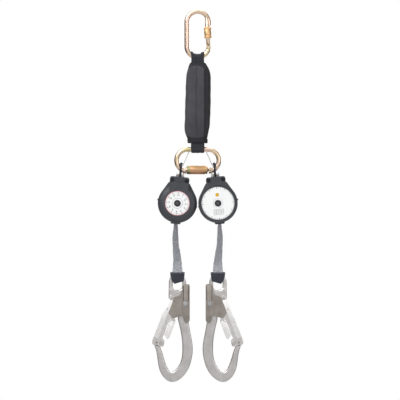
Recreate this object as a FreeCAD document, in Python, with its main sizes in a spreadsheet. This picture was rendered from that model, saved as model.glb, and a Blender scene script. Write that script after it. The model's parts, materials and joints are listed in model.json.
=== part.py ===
import FreeCAD, Part
import math
import os
import Sketcher
from FreeCAD import Placement, Rotation, Vector

# Twin-leg self retracting lifeline, hung from its top carabiner.
#
# The origin is the inside top of the top carabiner, where the anchor bears; +Z is up, +X is to the
# right of the front view and the front faces -Y. The left leg is modelled at -X. The right leg is
# the same leg turned half a turn about the Z axis, so it shows its back to the front.

doc = FreeCAD.newDocument("SelfRetractingLifeline")
sheet = doc.addObject("Spreadsheet::Sheet", "Sizes")

SIZES = {
    "clearance": 0.3,  # between pieces that move or only rest on each other
    "running": 0.05,  # radial, between a shaft and its bore
    # carabiners: an oval bar with a straight gate along one side
    "bar_radius": 5.4,
    "bend_radius": 24.6,  # of the bar's centre line
    "top_straight": 54.0,
    "low_straight": 46.0,
    "gate_radius": 4.9,
    "pin_radius": 1.9,
    "lug_half_thick": 2.8,
    "ear_radius": 5.7,
    "top_pivot_x": 24.2,
    "top_pivot_drop": 2.4,  # below the centre of the bend
    "top_nose_x": 20.8,
    "top_nose_rise": 11.0,
    "top_lip_length": 17.4,
    "low_pivot_x": 21.6,
    "low_pivot_drop": 6.0,
    "low_nose_x": 21.4,
    "low_nose_rise": 6.5,
    "low_lip_length": 3.6,
    "lip_offset": 2.6,
    "screw_sleeve_radius": 8.25,
    "screw_sleeve_length": 24.0,
    "screw_sleeve_start": 21.0,  # from the pivot along the gate
    "twist_sleeve_radius": 9.9,
    "twist_sleeve_length": 47.0,
    "twist_sleeve_start": 7.0,
    "sleeve_groove": 0.9,
    # energy absorber
    "cover_width": 61.0,
    "cover_depth": 36.0,
    "cover_top": -109.5,
    "cover_bottom": -291.0,
    "cover_shoulder": 30.0,  # height over which the top widens
    "cover_neck_width": 44.0,
    "cover_neck_depth": 17.0,
    "cover_toe": 27.0,  # height over which the bottom narrows
    "cover_round": 6.0,
    "tear_width": 46.0,
    "tear_depth": 22.0,
    "tear_length": 118.0,
    "loop_width": 30.0,
    "loop_thick": 2.0,
    # places of the lower carabiner and of the left leg
    "low_bar_z": -305.0,  # centre of the upper bar of the lower carabiner
    "hub_x": -45.4,
    "hub_z": -426.0,
    "unit_lean": 5.5,
    "keeper_radius": 0.7,
    "keeper_top_x": 18.5,
    "keeper_low_x": 33.4,
    "keeper_low_z": -342.0,
    "keeper_y": 6.6,
    # housing, from its hub
    "housing_radius": 44.0,
    "cavity_radius": 41.2,
    "cavity_half": 20.1,
    "front_face": 22.5,
    "front_flat_radius": 31.0,
    "front_edge": 13.0,
    "rear_face": 22.2,
    "rim_height": 1.2,
    "rim_inner": 39.6,
    "neck_half_width": 21.75,
    "neck_top": 59.5,
    "neck_half_depth": 21.9,
    "neck_corner": 5.0,
    "neck_foot_half": 23.5,
    "neck_foot": 46.0,
    "flare_half": 37.6,
    "flare_low": 22.9,
    "slot_half_x": 9.6,
    "slot_half_y": 9.4,
    "lug_proud": 2.4,
    "inner_lug_proud": 1.1,
    "lug_half_height": 4.3,
    "lug_lift": 4.0,
    "lug_near": 2.0,
    "lug_far": 12.0,
    "screw_x": 16.0,
    "screw_z": 51.0,
    "screw_recess": 4.7,
    "screw_recess_depth": 2.4,
    "screw_head_radius": 3.9,
    "screw_head_height": 2.0,
    "screw_shank_radius": 1.7,
    "screw_length": 27.0,
    "front_label_radius": 27.3,
    "rear_label_radius": 36.5,
    "label_thick": 0.35,
    "cap_radius": 7.25,
    "cap_height": 1.6,
    "cap_stem_radius": 2.3,
    "cap_stem_length": 9.0,
    "axle_radius": 5.0,
    # bracket, pin and loop that carry the housing
    "plate_thick": 1.6,
    "plate_half_width": 9.0,
    "plate_gap": 18.3,
    "ear_x": 6.9,
    "bracket_ear_thick": 2.0,
    "ear_half_width": 6.5,
    "anchor_pin_z": 63.0,
    "anchor_pin_radius": 3.0,
    "loop_eye_radius": 9.6,
    "loop_eye_z": 78.5,
    "cord_thick": 3.0,
    "cord_half_width": 2.5,
    # drum, ratchet and spring
    "drum_hub_radius": 16.0,
    "flange_radius": 34.5,
    "flange_thick": 1.5,
    "webbing_width": 22.0,
    "webbing_thick": 2.2,
    "coil_radius": 32.5,
    "ratchet_outer": 36.4,
    "ratchet_root": 32.0,
    "ratchet_tip": 28.2,
    "ratchet_near": 13.5,
    "ratchet_thick": 4.0,
    "pawl_pivot_radius": 22.0,
    "pawl_thick": 3.2,
    "spring_inner": 7.2,
    "spring_pitch": 3.6,
    "spring_strip": 0.8,
    "spring_width": 3.8,
    # guide at the mouth of the housing
    "guide_half_x": 11.0,
    "guide_half_y": 15.0,
    "guide_top": 38.5,
    "guide_bottom": 46.7,
    "guide_slot_x": 1.9,
    "guide_slot_y": 11.8,
    # exposed webbing and the sewn loop at its end
    "line_top_z": -471.5,
    "line_end_z": -563.0,
    "line_top_x": -49.8,
    "eye_x": -45.5,
    "eye_z": -610.5,
    "end_loop_width": 19.0,
    "eye_corner": 4.0,
    "eye_low_corner": 8.5,
    "eye_play": 2.0,  # from the top of the eye's hole to the webbing
    "pad_width": 30.5,
    "pad_top": 27.8,
    "pad_bottom": 3.5,
    "pad_thick": 2.2,
    # hook, from the centre of its eye
    "hook_thick": 12.0,
    "eye_thick": 10.0,
    "eye_outer": 19.5,
    "eye_hole": 10.5,
    "eye_rise": 7.0,
    "eye_step": 8.0,
    "forging_bevel": 1.6,
    "eye_hole_length": 28.0,
    "gate_pivot_x": -12.6,
    "gate_pivot_z": -29.5,
    "gate_angle": 21.1,
    "gate_length": 112.0,
    "gate_flange": 1.5,
    "gate_web": 1.8,
    "gate_back": 6.9,
    "flange_reach": 13.0,
    "strip_reach": 26.0,
    "block_reach": 21.0,
    "lever_pivot_x": 18.0,
    "lever_pivot_z": -41.0,
    "lever_sheet": 1.4,
    "lever_web": 1.9,
    "rivet_radius": 3.0,
    "rivet_head_radius": 4.8,
    "rivet_head_height": 1.3,
}

# The hook's outline from the centre of its eye: the outer edge from the shank round to the tip,
# then the inner edge from the tip back to the throat below the gate's pivot.
OUTER_EDGE = {
    "shank": (23.5, -70.0),
    "waist": (28.6, -104.0),
    "belly": (34.5, -143.0),
    "flank": (31.0, -170.0),
    "heel": (15.5, -202.0),
    "sole": (-14.5, -217.5),
    "toe": (-36.0, -200.0),
    "limb": (-45.6, -160.0),
}
TIP_EDGE = {"tip": (-54.0, -132.0), "barb": (-40.0, -136.0)}
INNER_EDGE = {
    "limb_in": (-33.0, -155.0),
    "toe_in": (-23.5, -183.0),
    "sole_in": (-14.5, -194.3),
    "heel_in": (0.5, -184.0),
    "belly_in": (10.8, -150.0),
    "waist_in": (8.6, -112.0),
    "throat": (0.5, -76.0),
}


def fill_sheet():
    """Writes every driving size into the spreadsheet, each under its own alias."""
    points = [OUTER_EDGE, TIP_EDGE, INNER_EDGE]
    cells = dict(SIZES)
    for name, (x, z) in [pair for table in points for pair in table.items()]:
        cells[f"hook_{name}_x"] = x
        cells[f"hook_{name}_z"] = z
    for row, (alias, number) in enumerate(cells.items(), 1):
        sheet.set(f"A{row}", alias)
        sheet.set(f"B{row}", str(number))
        sheet.setAlias(f"B{row}", alias)
    doc.recompute()
    return {alias: float(sheet.get(alias)) for alias in cells}


size = fill_sheet()


# ---------------------------------------------------------------------------- building helpers


def named(expression):
    """An expression in which $word stands for the sheet's cell of that alias."""
    return str(expression).replace("$", "Sizes.")


def value(expression):
    """The number that an expression of the sheet's cells gives."""
    return float(sheet.evalExpression(named(expression)))


def at(x=0.0, y=0.0, z=0.0, axis=Vector(0, 1, 0), angle=0.0):
    return Placement(Vector(x, y, z), Rotation(axis, angle))


def new_body(label, place=Placement()):
    body = doc.addObject("PartDesign::Body", label)
    body.Label = label
    body.Placement = place
    return body


def new_sketch(body, role, offset="0"):
    """A sketch on one of the body's own origin planes, moved along its normal by offset."""
    sketch = body.newObject("Sketcher::SketchObject", f"{body.Name}_sketch")
    support = next(f for f in body.Origin.OriginFeatures if f.Role == role)
    sketch.AttachmentSupport = [(support, "")]
    sketch.MapMode = "FlatFace"
    sketch.setExpression("AttachmentOffset.Base.z", named(offset))
    return sketch


def bind_point(sketch, geometry, point, x, y):
    """Ties a point of a sketch to two expressions, measured from the sketch's origin."""
    for kind, expression in (("DistanceX", x), ("DistanceY", y)):
        rule = Sketcher.Constraint(kind, -1, 1, geometry, point, value(expression))
        index = sketch.addConstraint(rule)
        sketch.setExpression(f"Constraints[{index}]", named(expression))


def polygon(sketch, corners):
    """A closed outline of straight edges whose corners are pairs of expressions."""
    places = [Vector(value(x), value(y), 0) for x, y in corners]
    first = len(sketch.Geometry)
    count = len(corners)
    for i in range(count):
        sketch.addGeometry(Part.LineSegment(places[i], places[(i + 1) % count]))
    for i in range(count):
        after = first + (i + 1) % count
        sketch.addConstraint(Sketcher.Constraint("Coincident", first + i, 2, after, 1))
        bind_point(sketch, first + i, 1, *corners[i])


def rectangle(sketch, left, right, low, high):
    polygon(sketch, [(left, low), (right, low), (right, high), (left, high)])


def circle(sketch, x, y, radius):
    middle = Vector(value(x), value(y), 0)
    index = sketch.addGeometry(Part.Circle(middle, Vector(0, 0, 1), value(radius)))
    bind_point(sketch, index, 3, x, y)
    rule = sketch.addConstraint(Sketcher.Constraint("Radius", index, value(radius)))
    sketch.setExpression(f"Constraints[{rule}]", named(radius))


def pad(body, sketch, length, midplane=False, backwards=False):
    feature = body.newObject("PartDesign::Pad", f"{body.Name}_pad")
    feature.Profile = sketch
    feature.SideType = "Symmetric" if midplane else "One side"
    feature.Reversed = backwards
    feature.setExpression("Length", named(length))
    doc.recompute()
    return feature


def pocket(body, sketch, length, midplane=False, backwards=False):
    """Cuts a sketch into the body and makes sure that it took something away."""
    before = body.Shape.Volume
    feature = body.newObject("PartDesign::Pocket", f"{body.Name}_pocket")
    feature.Profile = sketch
    feature.SideType = "Symmetric" if midplane else "One side"
    feature.Reversed = backwards
    feature.setExpression("Length", named(length))
    doc.recompute()
    if body.Shape.Volume >= before:
        raise RuntimeError(f"{feature.Name} cuts nothing")
    return feature


def revolve(body, sketch, axis):
    feature = body.newObject("PartDesign::Revolution", f"{body.Name}_turn")
    feature.Profile = sketch
    feature.ReferenceAxis = (sketch, [axis])
    feature.Angle = 360
    doc.recompute()
    return feature


def round_edges(body, radius, chosen, kind="Fillet"):
    """Fillets or chamfers the edges of the body that the test picks out."""
    base = body.Tip
    edges = [f"Edge{i}" for i, e in enumerate(base.Shape.Edges, 1) if chosen(e)]
    if not edges:
        raise RuntimeError(f"{body.Label} has no edge to round")
    feature = body.newObject(f"PartDesign::{kind}", f"{body.Name}_{kind.lower()}")
    feature.Base = (base, edges)
    feature.setExpression("Radius" if kind == "Fillet" else "Size", named(radius))
    doc.recompute()
    return feature


def polar_pattern(body, feature, role, count):
    pattern = body.newObject("PartDesign::PolarPattern", f"{body.Name}_ring")
    pattern.Originals = [feature]
    pattern.Axis = (next(f for f in body.Origin.OriginFeatures if f.Role == role), [""])
    pattern.Angle = 360
    pattern.Occurrences = count
    body.Tip = pattern
    doc.recompute()
    return pattern


def solid(label, shape, place=Placement()):
    """A piece whose form no sketch or primitive gives, from a shape in its own frame."""
    piece = doc.addObject("Part::Feature", label)
    piece.Label = label
    piece.Shape = shape
    piece.Placement = place * piece.Placement
    return piece


def bar_along(axis, radius, low, high, x=0.0, y=0.0, z=0.0):
    """A round bar along an axis, from low to high."""
    start = Vector(x, y, z) + axis * low
    return Part.makeCylinder(radius, high - low, start, axis)


def block(x0, x1, y0, y1, z0, z1):
    return Part.makeBox(x1 - x0, y1 - y0, z1 - z0, Vector(x0, y0, z0))


def rounded_section(z, half_x, half_y, corner):
    """A level outline with rounded corners."""
    turn = corner * (1 - math.sqrt(0.5))
    edges = []
    for sx, sy in ((1, 1), (-1, 1), (-1, -1), (1, -1)):
        along = Vector(sx * half_x, sy * (half_y - corner), z)
        across = Vector(sx * (half_x - corner), sy * half_y, z)
        middle = Vector(sx * (half_x - turn), sy * (half_y - turn), z)
        first, last = (along, across) if sx == sy else (across, along)
        if edges:
            edges.append(Part.LineSegment(edges[-1].EndPoint, first))
        edges.append(Part.Arc(first, middle, last))
    edges.append(Part.LineSegment(edges[-1].EndPoint, edges[0].StartPoint))
    return Part.Wire([e.toShape() for e in edges])


def is_along(edge, direction):
    if not isinstance(edge.Curve, Part.Line):
        return False
    return abs(edge.Curve.Direction.normalize().dot(direction)) > 0.999


ALONG_X, ALONG_Y, ALONG_Z = Vector(1, 0, 0), Vector(0, 1, 0), Vector(0, 0, 1)

# ---------------------------------------------------------------------------- carabiners


def carabiner(prefix, key, place, sleeve_key, ribs):
    """An oval carabiner in its own frame: the bar's lower bend at z = 0, the gate on the +x side."""
    straight, nose_x = f"${key}_straight", f"${key}_nose_x"
    pivot_x, pivot_z = f"${key}_pivot_x", f"-${key}_pivot_drop"
    nose_z = f"({straight} + ${key}_nose_rise)"
    bend, bar = size["bend_radius"], size["bar_radius"]
    high = size[f"{key}_straight"]
    px, pz = size[f"{key}_pivot_x"], -size[f"{key}_pivot_drop"]
    nx, nz = size[f"{key}_nose_x"], high + size[f"{key}_nose_rise"]
    lean = math.degrees(math.atan2(nx - px, nz - pz))
    length = math.hypot(nx - px, nz - pz)

    # the body is a round bar swept round the whole oval, then opened for the gate
    body = new_body(f"{prefix}_body", place)
    path = new_sketch(body, "XZ_Plane")
    left = path.addGeometry(Part.LineSegment(Vector(-bend, 0, 0), Vector(-bend, high, 0)))
    right = path.addGeometry(Part.LineSegment(Vector(bend, high, 0), Vector(bend, 0, 0)))
    for geometry, x, low, top in ((left, "-$bend_radius", "0", straight),
                                  (right, "$bend_radius", straight, "0")):
        bind_point(path, geometry, 1, x, low)
        bind_point(path, geometry, 2, x, top)
    over = Part.Arc(Vector(-bend, high, 0), Vector(0, high + bend, 0), Vector(bend, high, 0))
    under = Part.Arc(Vector(bend, 0, 0), Vector(0, -bend, 0), Vector(-bend, 0, 0))
    upper_arc, lower_arc = path.addGeometry(over), path.addGeometry(under)
    path.addConstraint(Sketcher.Constraint("Tangent", left, 2, upper_arc, 2))
    path.addConstraint(Sketcher.Constraint("Coincident", right, 1, upper_arc, 1))
    path.addConstraint(Sketcher.Constraint("Tangent", left, 1, lower_arc, 1))
    path.addConstraint(Sketcher.Constraint("Coincident", right, 2, lower_arc, 2))
    section = new_sketch(body, "XY_Plane")
    circle(section, "-$bend_radius", "0", "$bar_radius")
    sweep = body.newObject("PartDesign::AdditivePipe", f"{body.Name}_bar")
    sweep.Profile = section
    sweep.Spine = path
    doc.recompute()

    # the ears of the fork stand round the pivot
    ears = new_sketch(body, "XZ_Plane")
    circle(ears, pivot_x, pivot_z, "$ear_radius")
    pad(body, ears, "2 * $bar_radius - 0.2", midplane=True)
    opening = new_sketch(body, "XZ_Plane")
    lip_z = f"({nose_z} - ${key}_lip_length)"
    polygon(opening, [
        ("$bend_radius - $bar_radius - 7", f"{pivot_z} + $ear_radius - 1.9"),
        ("$bend_radius + $bar_radius + 3", f"{pivot_z} + $ear_radius - 1.9"),
        ("$bend_radius + $bar_radius + 3", lip_z),
        (f"{nose_x} + $lip_offset", lip_z),
        (f"{nose_x} + $lip_offset", f"{nose_z} + $clearance"),
        ("$bend_radius - $bar_radius - 7", f"{nose_z} + $clearance"),
    ])
    pocket(body, opening, "4 * $bar_radius", midplane=True)
    slot = new_sketch(body, "XZ_Plane")
    circle(slot, pivot_x, pivot_z, "$ear_radius + 1.3")
    pocket(body, slot, "2 * ($lug_half_thick + $clearance)", midplane=True)
    bore = new_sketch(body, "XZ_Plane")
    circle(bore, pivot_x, pivot_z, "$pin_radius + $running")
    pocket(body, bore, "4 * $bar_radius", midplane=True)
    relief = body.newObject("PartDesign::SubtractiveCylinder", f"{body.Name}_relief")
    relief.MapMode = "Deactivated"
    relief.setExpression("Radius", named("$gate_radius + $clearance"))
    relief.Height = length - 2 * size["ear_radius"] + 0.5
    relief.Placement = Placement(Vector(px, 0, pz), Rotation(ALONG_Y, lean)) * at(
        z=2 * size["ear_radius"])
    doc.recompute()

    hinge = place * Placement(Vector(px, 0, pz), Rotation(ALONG_Y, lean))
    gate = new_body(f"{prefix}_gate", hinge)
    barrel = new_sketch(gate, "XZ_Plane")
    start, end = size["ear_radius"] + 0.7, length - 0.7
    polygon(barrel, [
        ("0", "$ear_radius + 0.7"),
        ("$gate_radius", "$ear_radius + 0.7"),
        ("$gate_radius", str(round(end - 1.0, 3))),
        ("$gate_radius - 1", str(round(end, 3))),
        ("0", str(round(end, 3))),
    ])
    revolve(gate, barrel, "V_Axis")
    lug = new_sketch(gate, "XZ_Plane")
    circle(lug, "0", "0", "$gate_radius")
    pad(gate, lug, "2 * $lug_half_thick", midplane=True)
    neck = new_sketch(gate, "XZ_Plane")
    rectangle(neck, "-$gate_radius * 0.66", "$gate_radius * 0.66", "0", "$ear_radius + 3")
    pad(gate, neck, "2 * $lug_half_thick", midplane=True)
    eye = new_sketch(gate, "XZ_Plane")
    circle(eye, "0", "0", "$pin_radius + $running")
    pocket(gate, eye, "4 * $lug_half_thick", midplane=True)

    # the sleeve is a tube on the gate with a band of grooves
    outer, reach = f"${sleeve_key}_radius", f"${sleeve_key}_length"
    begin = f"${sleeve_key}_start"
    sleeve = new_body(f"{prefix}_sleeve", hinge)
    tube = new_sketch(sleeve, "XZ_Plane")
    polygon(tube, [
        ("$gate_radius + $running", begin),
        (f"{outer} - 1.2", begin),
        (outer, f"{begin} + 1.2"),
        (outer, f"{begin} + {reach} - 1.2"),
        (f"{outer} - 1.2", f"{begin} + {reach}"),
        ("$gate_radius + $running", f"{begin} + {reach}"),
    ])
    revolve(sleeve, tube, "V_Axis")
    rib = new_sketch(sleeve, "XY_Plane", f"{begin} + {reach} * 0.14")
    circle(rib, f"{outer} + $sleeve_groove * 0.4", "0", "$sleeve_groove")
    groove = pocket(sleeve, rib, f"{reach} * 0.72", backwards=True)
    polar_pattern(sleeve, groove, "Z_Axis", ribs)

    pin_half = size["bar_radius"] + 0.3
    pin = doc.addObject("Part::Cylinder", f"{prefix}_pin")
    pin.Label = f"{prefix}_pin"
    pin.setExpression("Radius", named("$pin_radius"))
    pin.setExpression("Height", named("2 * $bar_radius + 0.6"))
    pin.Placement = hinge * Placement(Vector(0, pin_half, 0), Rotation(ALONG_X, 90))
    return body, gate, sleeve, pin


top_bend_z = size["bar_radius"] - size["bend_radius"] - size["top_straight"]
carabiner("top_carabiner", "top", at(z=top_bend_z), "screw_sleeve", 16)
half_straight = size["low_straight"] / 2
low_middle_z = size["low_bar_z"] - size["bend_radius"]
lying = Placement(Vector(half_straight, 0, low_middle_z),
                  Rotation(ALONG_Y, 90) * Rotation(ALONG_X, 180))
carabiner("lower_carabiner", "low", lying, "twist_sleeve", 18)


# ---------------------------------------------------------------------------- energy absorber


def absorber_cover():
    """The sewn cover as a closed bag that narrows to both webbing loops, with the pack's room inside."""
    wide, deep = size["cover_width"] / 2, size["cover_depth"] / 2
    neck_w, neck_d = size["cover_neck_width"] / 2, size["cover_neck_depth"] / 2
    top, bottom = size["cover_top"], size["cover_bottom"]
    levels = [
        (top, neck_w + 3, neck_d),
        (top - size["cover_shoulder"], wide, deep),
        (bottom + size["cover_toe"], wide, deep),
        (bottom, neck_w, neck_d),
    ]

    sections = [rounded_section(z, w, d, size["cover_round"]) for z, w, d in levels]
    bag = Part.makeLoft(sections, True, True)
    w, d = size["tear_width"] / 2 + 1, size["tear_depth"] / 2 + 0.3
    half = size["tear_length"] / 2 + 0.3
    middle = (top + bottom) / 2
    return bag.cut(block(-w, w, -d, d, middle - half, middle + half))


def tear_webbing():
    """The tear webbing, folded to and fro into a pack of flat layers."""
    w, d, half = size["tear_width"] / 2, size["tear_depth"] / 2, size["tear_length"] / 2
    middle = (size["cover_top"] + size["cover_bottom"]) / 2
    pack = block(-w, w, -d, d, middle - half, middle + half)
    layers = int(size["tear_depth"] // (size["webbing_thick"] + 1.4))
    pitch = size["tear_depth"] / layers
    for i in range(1, layers):
        y, back = -d + i * pitch, 6.0 * (-1) ** i
        gap = block(-w - 1, w + 1, y - 0.2, y + 0.2, middle - half + 6, middle + half - 6)
        gap.translate(Vector(0, 0, back))
        pack = pack.cut(gap)
    return pack


def upper_loop():
    """The loop over the lower bend of the top carabiner: a saddle on the bar and two straight plies."""
    bend, bar = size["bend_radius"], size["bar_radius"] + size["clearance"]
    thick, half = size["loop_thick"], size["loop_width"] / 2
    centre = Vector(0, 0, top_bend_z)
    outside = Part.makeTorus(bend, bar + thick, centre, ALONG_Y)
    inside = Part.makeTorus(bend, bar, centre, ALONG_Y)
    low = top_bend_z - bend
    saddle = outside.common(block(-half, half, -20, 20, low - 0.1, top_bend_z))
    foot = size["cover_top"] + size["clearance"]
    skirt = block(-half, half, -bar - thick, bar + thick, foot, low + 5)
    room = block(-half - 1, half + 1, -bar, bar, foot + 2.5, low)
    loop = saddle.fuse(skirt).cut([inside, room])
    return max(loop.removeSplitter().Solids, key=lambda s: s.Volume)


def lower_loop():
    """The loop round the upper bar of the lower carabiner, open downwards for the bar."""
    bar, thick = size["bar_radius"] + size["clearance"], size["loop_thick"]
    half, z = size["loop_width"] / 2, size["low_bar_z"]
    ring = bar_along(ALONG_X, bar + thick, -half, half, z=z)
    top = size["cover_bottom"] - size["clearance"]
    ring = ring.fuse(block(-half, half, -bar - thick, bar + thick, z, top - 3))
    ring = ring.fuse(block(-half, half, -bar - thick + 1.2, bar + thick - 1.2, z, top))
    hole = bar_along(ALONG_X, bar, -half - 1, half + 1, z=z)
    return ring.cut(hole).removeSplitter()


solid("absorber_cover", absorber_cover())
solid("absorber_tear_webbing", tear_webbing())
solid("absorber_upper_loop", upper_loop())
solid("absorber_lower_loop", lower_loop())

LEGS = {"left": at(), "right": at(axis=ALONG_Z, angle=180)}


def keeper_wire(side):
    """The thin wire that keeps a leg's loop at its end of the lower carabiner."""
    wire = doc.addObject("Part::Cylinder", f"{side}_keeper_wire")
    wire.Label = f"{side}_keeper_wire"
    start = Vector(-size["keeper_top_x"], -size["keeper_y"], size["low_bar_z"] - 3.0)
    end = Vector(-size["keeper_low_x"], -size["keeper_y"] - 0.6, size["keeper_low_z"])
    wire.setExpression("Radius", named("$keeper_radius"))
    wire.Height = (end - start).Length
    wire.Placement = LEGS[side] * Placement(start, Rotation(ALONG_Z, end - start))
    return wire


# ---------------------------------------------------------------------------- housing of one leg




def unit_place(side):
    """The frame of a housing: its origin is the hub, and it leans towards the other leg."""
    return LEGS[side] * at(size["hub_x"], 0, size["hub_z"], ALONG_Y, size["unit_lean"])


def mouth_cut(body):
    """The opening for the webbing's guide at the bottom."""
    low = new_sketch(body, "XY_Plane", "-$guide_bottom - 3")
    rectangle(low, "-$guide_half_x - 0.1", "$guide_half_x + 0.1", "-$guide_half_y - 0.1",
              "$guide_half_y + 0.1")
    pocket(body, low, "$guide_bottom + 3 - $guide_top", backwards=True)


def neck_cuts(body, outwards):
    """The room for the bracket below the neck, and the slot for its ears and the loop."""
    top = new_sketch(body, "XY_Plane", "$neck_top + 2")
    rectangle(top, "-$slot_half_x", "$slot_half_x", "-$slot_half_y", "$slot_half_y")
    pocket(body, top, "22")
    room = new_sketch(body, "XY_Plane", "$neck_top - 3.6")
    reach = "$plate_gap + $plate_thick + 0.3"
    near, far = ("0", reach) if outwards > 0 else (f"-({reach})", "0")
    rectangle(room, "-$plate_half_width - 0.3", "$plate_half_width + 0.3", near, far)
    pocket(body, room, "24")


def side_lugs(body, sides, backwards):
    """A small triangular lug at each of the sides, -1 for the outer and 1 for the inner one.

    The inner lug is the lower one, so that the two units swing past each other."""
    for sign in sides:
        proud = "$lug_proud" if sign < 0 else "$inner_lug_proud"
        edge, peak = f"{sign} * ($housing_radius - 1.4)", f"{sign} * ($housing_radius + {proud})"
        lift = f"{-sign} * $lug_lift"
        lug = new_sketch(body, "XZ_Plane", "-$lug_near" if backwards else "$lug_near")
        corners = [(edge, f"{lift} - $lug_half_height"), (peak, lift),
                   (edge, f"{lift} + $lug_half_height")]
        polygon(lug, corners if sign > 0 else corners[::-1])
        pad(body, lug, "$lug_far - $lug_near", backwards=backwards)


def neck_flare(body, depth, backwards):
    """The web that leads the neck's sides down to the round, at a tangent."""
    flare = new_sketch(body, "XZ_Plane")
    polygon(flare, [("-$neck_foot_half", "$neck_foot"), ("-$flare_half", "$flare_low"),
                    ("$flare_half", "$flare_low"), ("$neck_foot_half", "$neck_foot")])
    pad(body, flare, depth, backwards=backwards)


def front_cover(side):
    """The domed half of the housing, towards -Y, with the neck's front."""
    body = new_body(f"{side}_front_cover", unit_place(side))
    dome = new_sketch(body, "YZ_Plane")
    polygon(dome, [
        ("0", "$housing_radius"),
        ("-$front_edge", "$housing_radius"),
        ("-$front_face + 3.2", "$housing_radius - 5.6"),
        ("-$front_face", "$front_flat_radius"),
        ("-$front_face", "0"),
        ("-$cavity_half", "0"),
        ("-$cavity_half", "$front_flat_radius - 0.6"),
        ("-$cavity_half + 2.7", "$housing_radius - 8.0"),
        ("-$front_edge + 0.6", "$cavity_radius"),
        ("0", "$cavity_radius"),
    ])
    revolve(body, dome, "H_Axis")
    neck = new_sketch(body, "XZ_Plane")
    rectangle(neck, "-$neck_half_width", "$neck_half_width", "$cavity_radius - 13", "$neck_top")
    pad(body, neck, "$neck_half_depth")
    neck_flare(body, "$front_edge", False)
    round_edges(body, "$neck_corner", lambda e: is_along(e, ALONG_Y)
                and abs(e.CenterOfMass.z - size["neck_top"]) < 0.1)
    inside = new_sketch(body, "XZ_Plane")
    circle(inside, "0", "0", "$cavity_radius")
    pocket(body, inside, "$front_edge - 0.6", backwards=True)
    inner = new_sketch(body, "XZ_Plane", "$front_edge - 0.7")
    circle(inner, "0", "0", "$front_flat_radius + 4")
    pocket(body, inner, "$cavity_half - $front_edge + 0.7", backwards=True)
    side_lugs(body, (-1, 1), backwards=False)
    neck_cuts(body, -1)
    mouth_cut(body)
    bore = new_sketch(body, "XZ_Plane")
    circle(bore, "0", "0", "$cap_stem_radius + 0.6")
    pocket(body, bore, "$front_face + 1", backwards=True)
    for x in ("-$screw_x", "$screw_x"):
        hole = new_sketch(body, "XZ_Plane")
        circle(hole, x, "$screw_z", "$screw_shank_radius + 0.15")
        pocket(body, hole, "$neck_half_depth + 1", backwards=True)
        recess = new_sketch(body, "XZ_Plane", "$neck_half_depth - $screw_recess_depth")
        circle(recess, x, "$screw_z", "$screw_recess")
        pocket(body, recess, "$screw_recess_depth + 1", backwards=True)
    ridge = new_sketch(body, "XZ_Plane", "$neck_half_depth - 0.5")
    rectangle(ridge, "-$screw_x + $screw_recess + 1.5", "$screw_x - $screw_recess - 1.5",
              "$screw_z - 2.2", "$screw_z + 2.2")
    pad(body, ridge, "1.6")
    return body


def rear_cover(side):
    """The flat-backed half of the housing, towards +Y, with a raised rim round its back."""
    body = new_body(f"{side}_rear_cover", unit_place(side))
    pan = new_sketch(body, "YZ_Plane")
    polygon(pan, [
        ("0", "$housing_radius"),
        ("$rear_face + $rim_height - 1.6", "$housing_radius"),
        ("$rear_face + $rim_height", "$housing_radius - 1.6"),
        ("$rear_face + $rim_height", "$rim_inner + 1"),
        ("$rear_face", "$rim_inner"),
        ("$rear_face", "0"),
        ("$cavity_half", "0"),
        ("$cavity_half", "$cavity_radius - 2.5"),
        ("$cavity_half - 2.5", "$cavity_radius"),
        ("0", "$cavity_radius"),
    ])
    revolve(body, pan, "H_Axis")
    neck = new_sketch(body, "XZ_Plane")
    rectangle(neck, "-$neck_half_width", "$neck_half_width", "$cavity_radius - 13", "$neck_top")
    pad(body, neck, "$rear_face", backwards=True)
    neck_flare(body, "$rear_face", True)
    round_edges(body, "$neck_corner", lambda e: is_along(e, ALONG_Y)
                and abs(e.CenterOfMass.z - size["neck_top"]) < 0.1)
    inside = new_sketch(body, "XZ_Plane")
    circle(inside, "0", "0", "$cavity_radius")
    pocket(body, inside, "$cavity_half - 2.5")
    inner = new_sketch(body, "XZ_Plane")
    circle(inner, "0", "0", "$cavity_radius - 3")
    pocket(body, inner, "$cavity_half")
    side_lugs(body, (-1,), backwards=True)
    neck_cuts(body, 1)
    mouth_cut(body)
    bore = new_sketch(body, "XZ_Plane")
    circle(bore, "0", "0", "$cap_stem_radius + 0.6")
    pocket(body, bore, "$rear_face + 2")
    for x in ("-$screw_x", "$screw_x"):
        hole = new_sketch(body, "XZ_Plane")
        circle(hole, x, "$screw_z", "$screw_shank_radius + 0.15")
        pocket(body, hole, "$screw_length - $neck_half_depth")
    return body


def labels(side):
    """The round front and back labels, each with a hole for the hub's screw."""
    discs = []
    for sign, face, radius in ((-1, size["front_face"], size["front_label_radius"]),
                               (1, size["rear_face"], size["rear_label_radius"])):
        out, start = ALONG_Y * sign, ALONG_Y * (sign * (face + 0.02))
        disc = Part.makeCylinder(radius, size["label_thick"], start, out)
        hole = Part.makeCylinder(size["cap_radius"] + 0.2, size["label_thick"], start, out)
        discs.append(disc.cut(hole))
    return solid(f"{side}_labels", Part.makeCompound(discs), unit_place(side))


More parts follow.
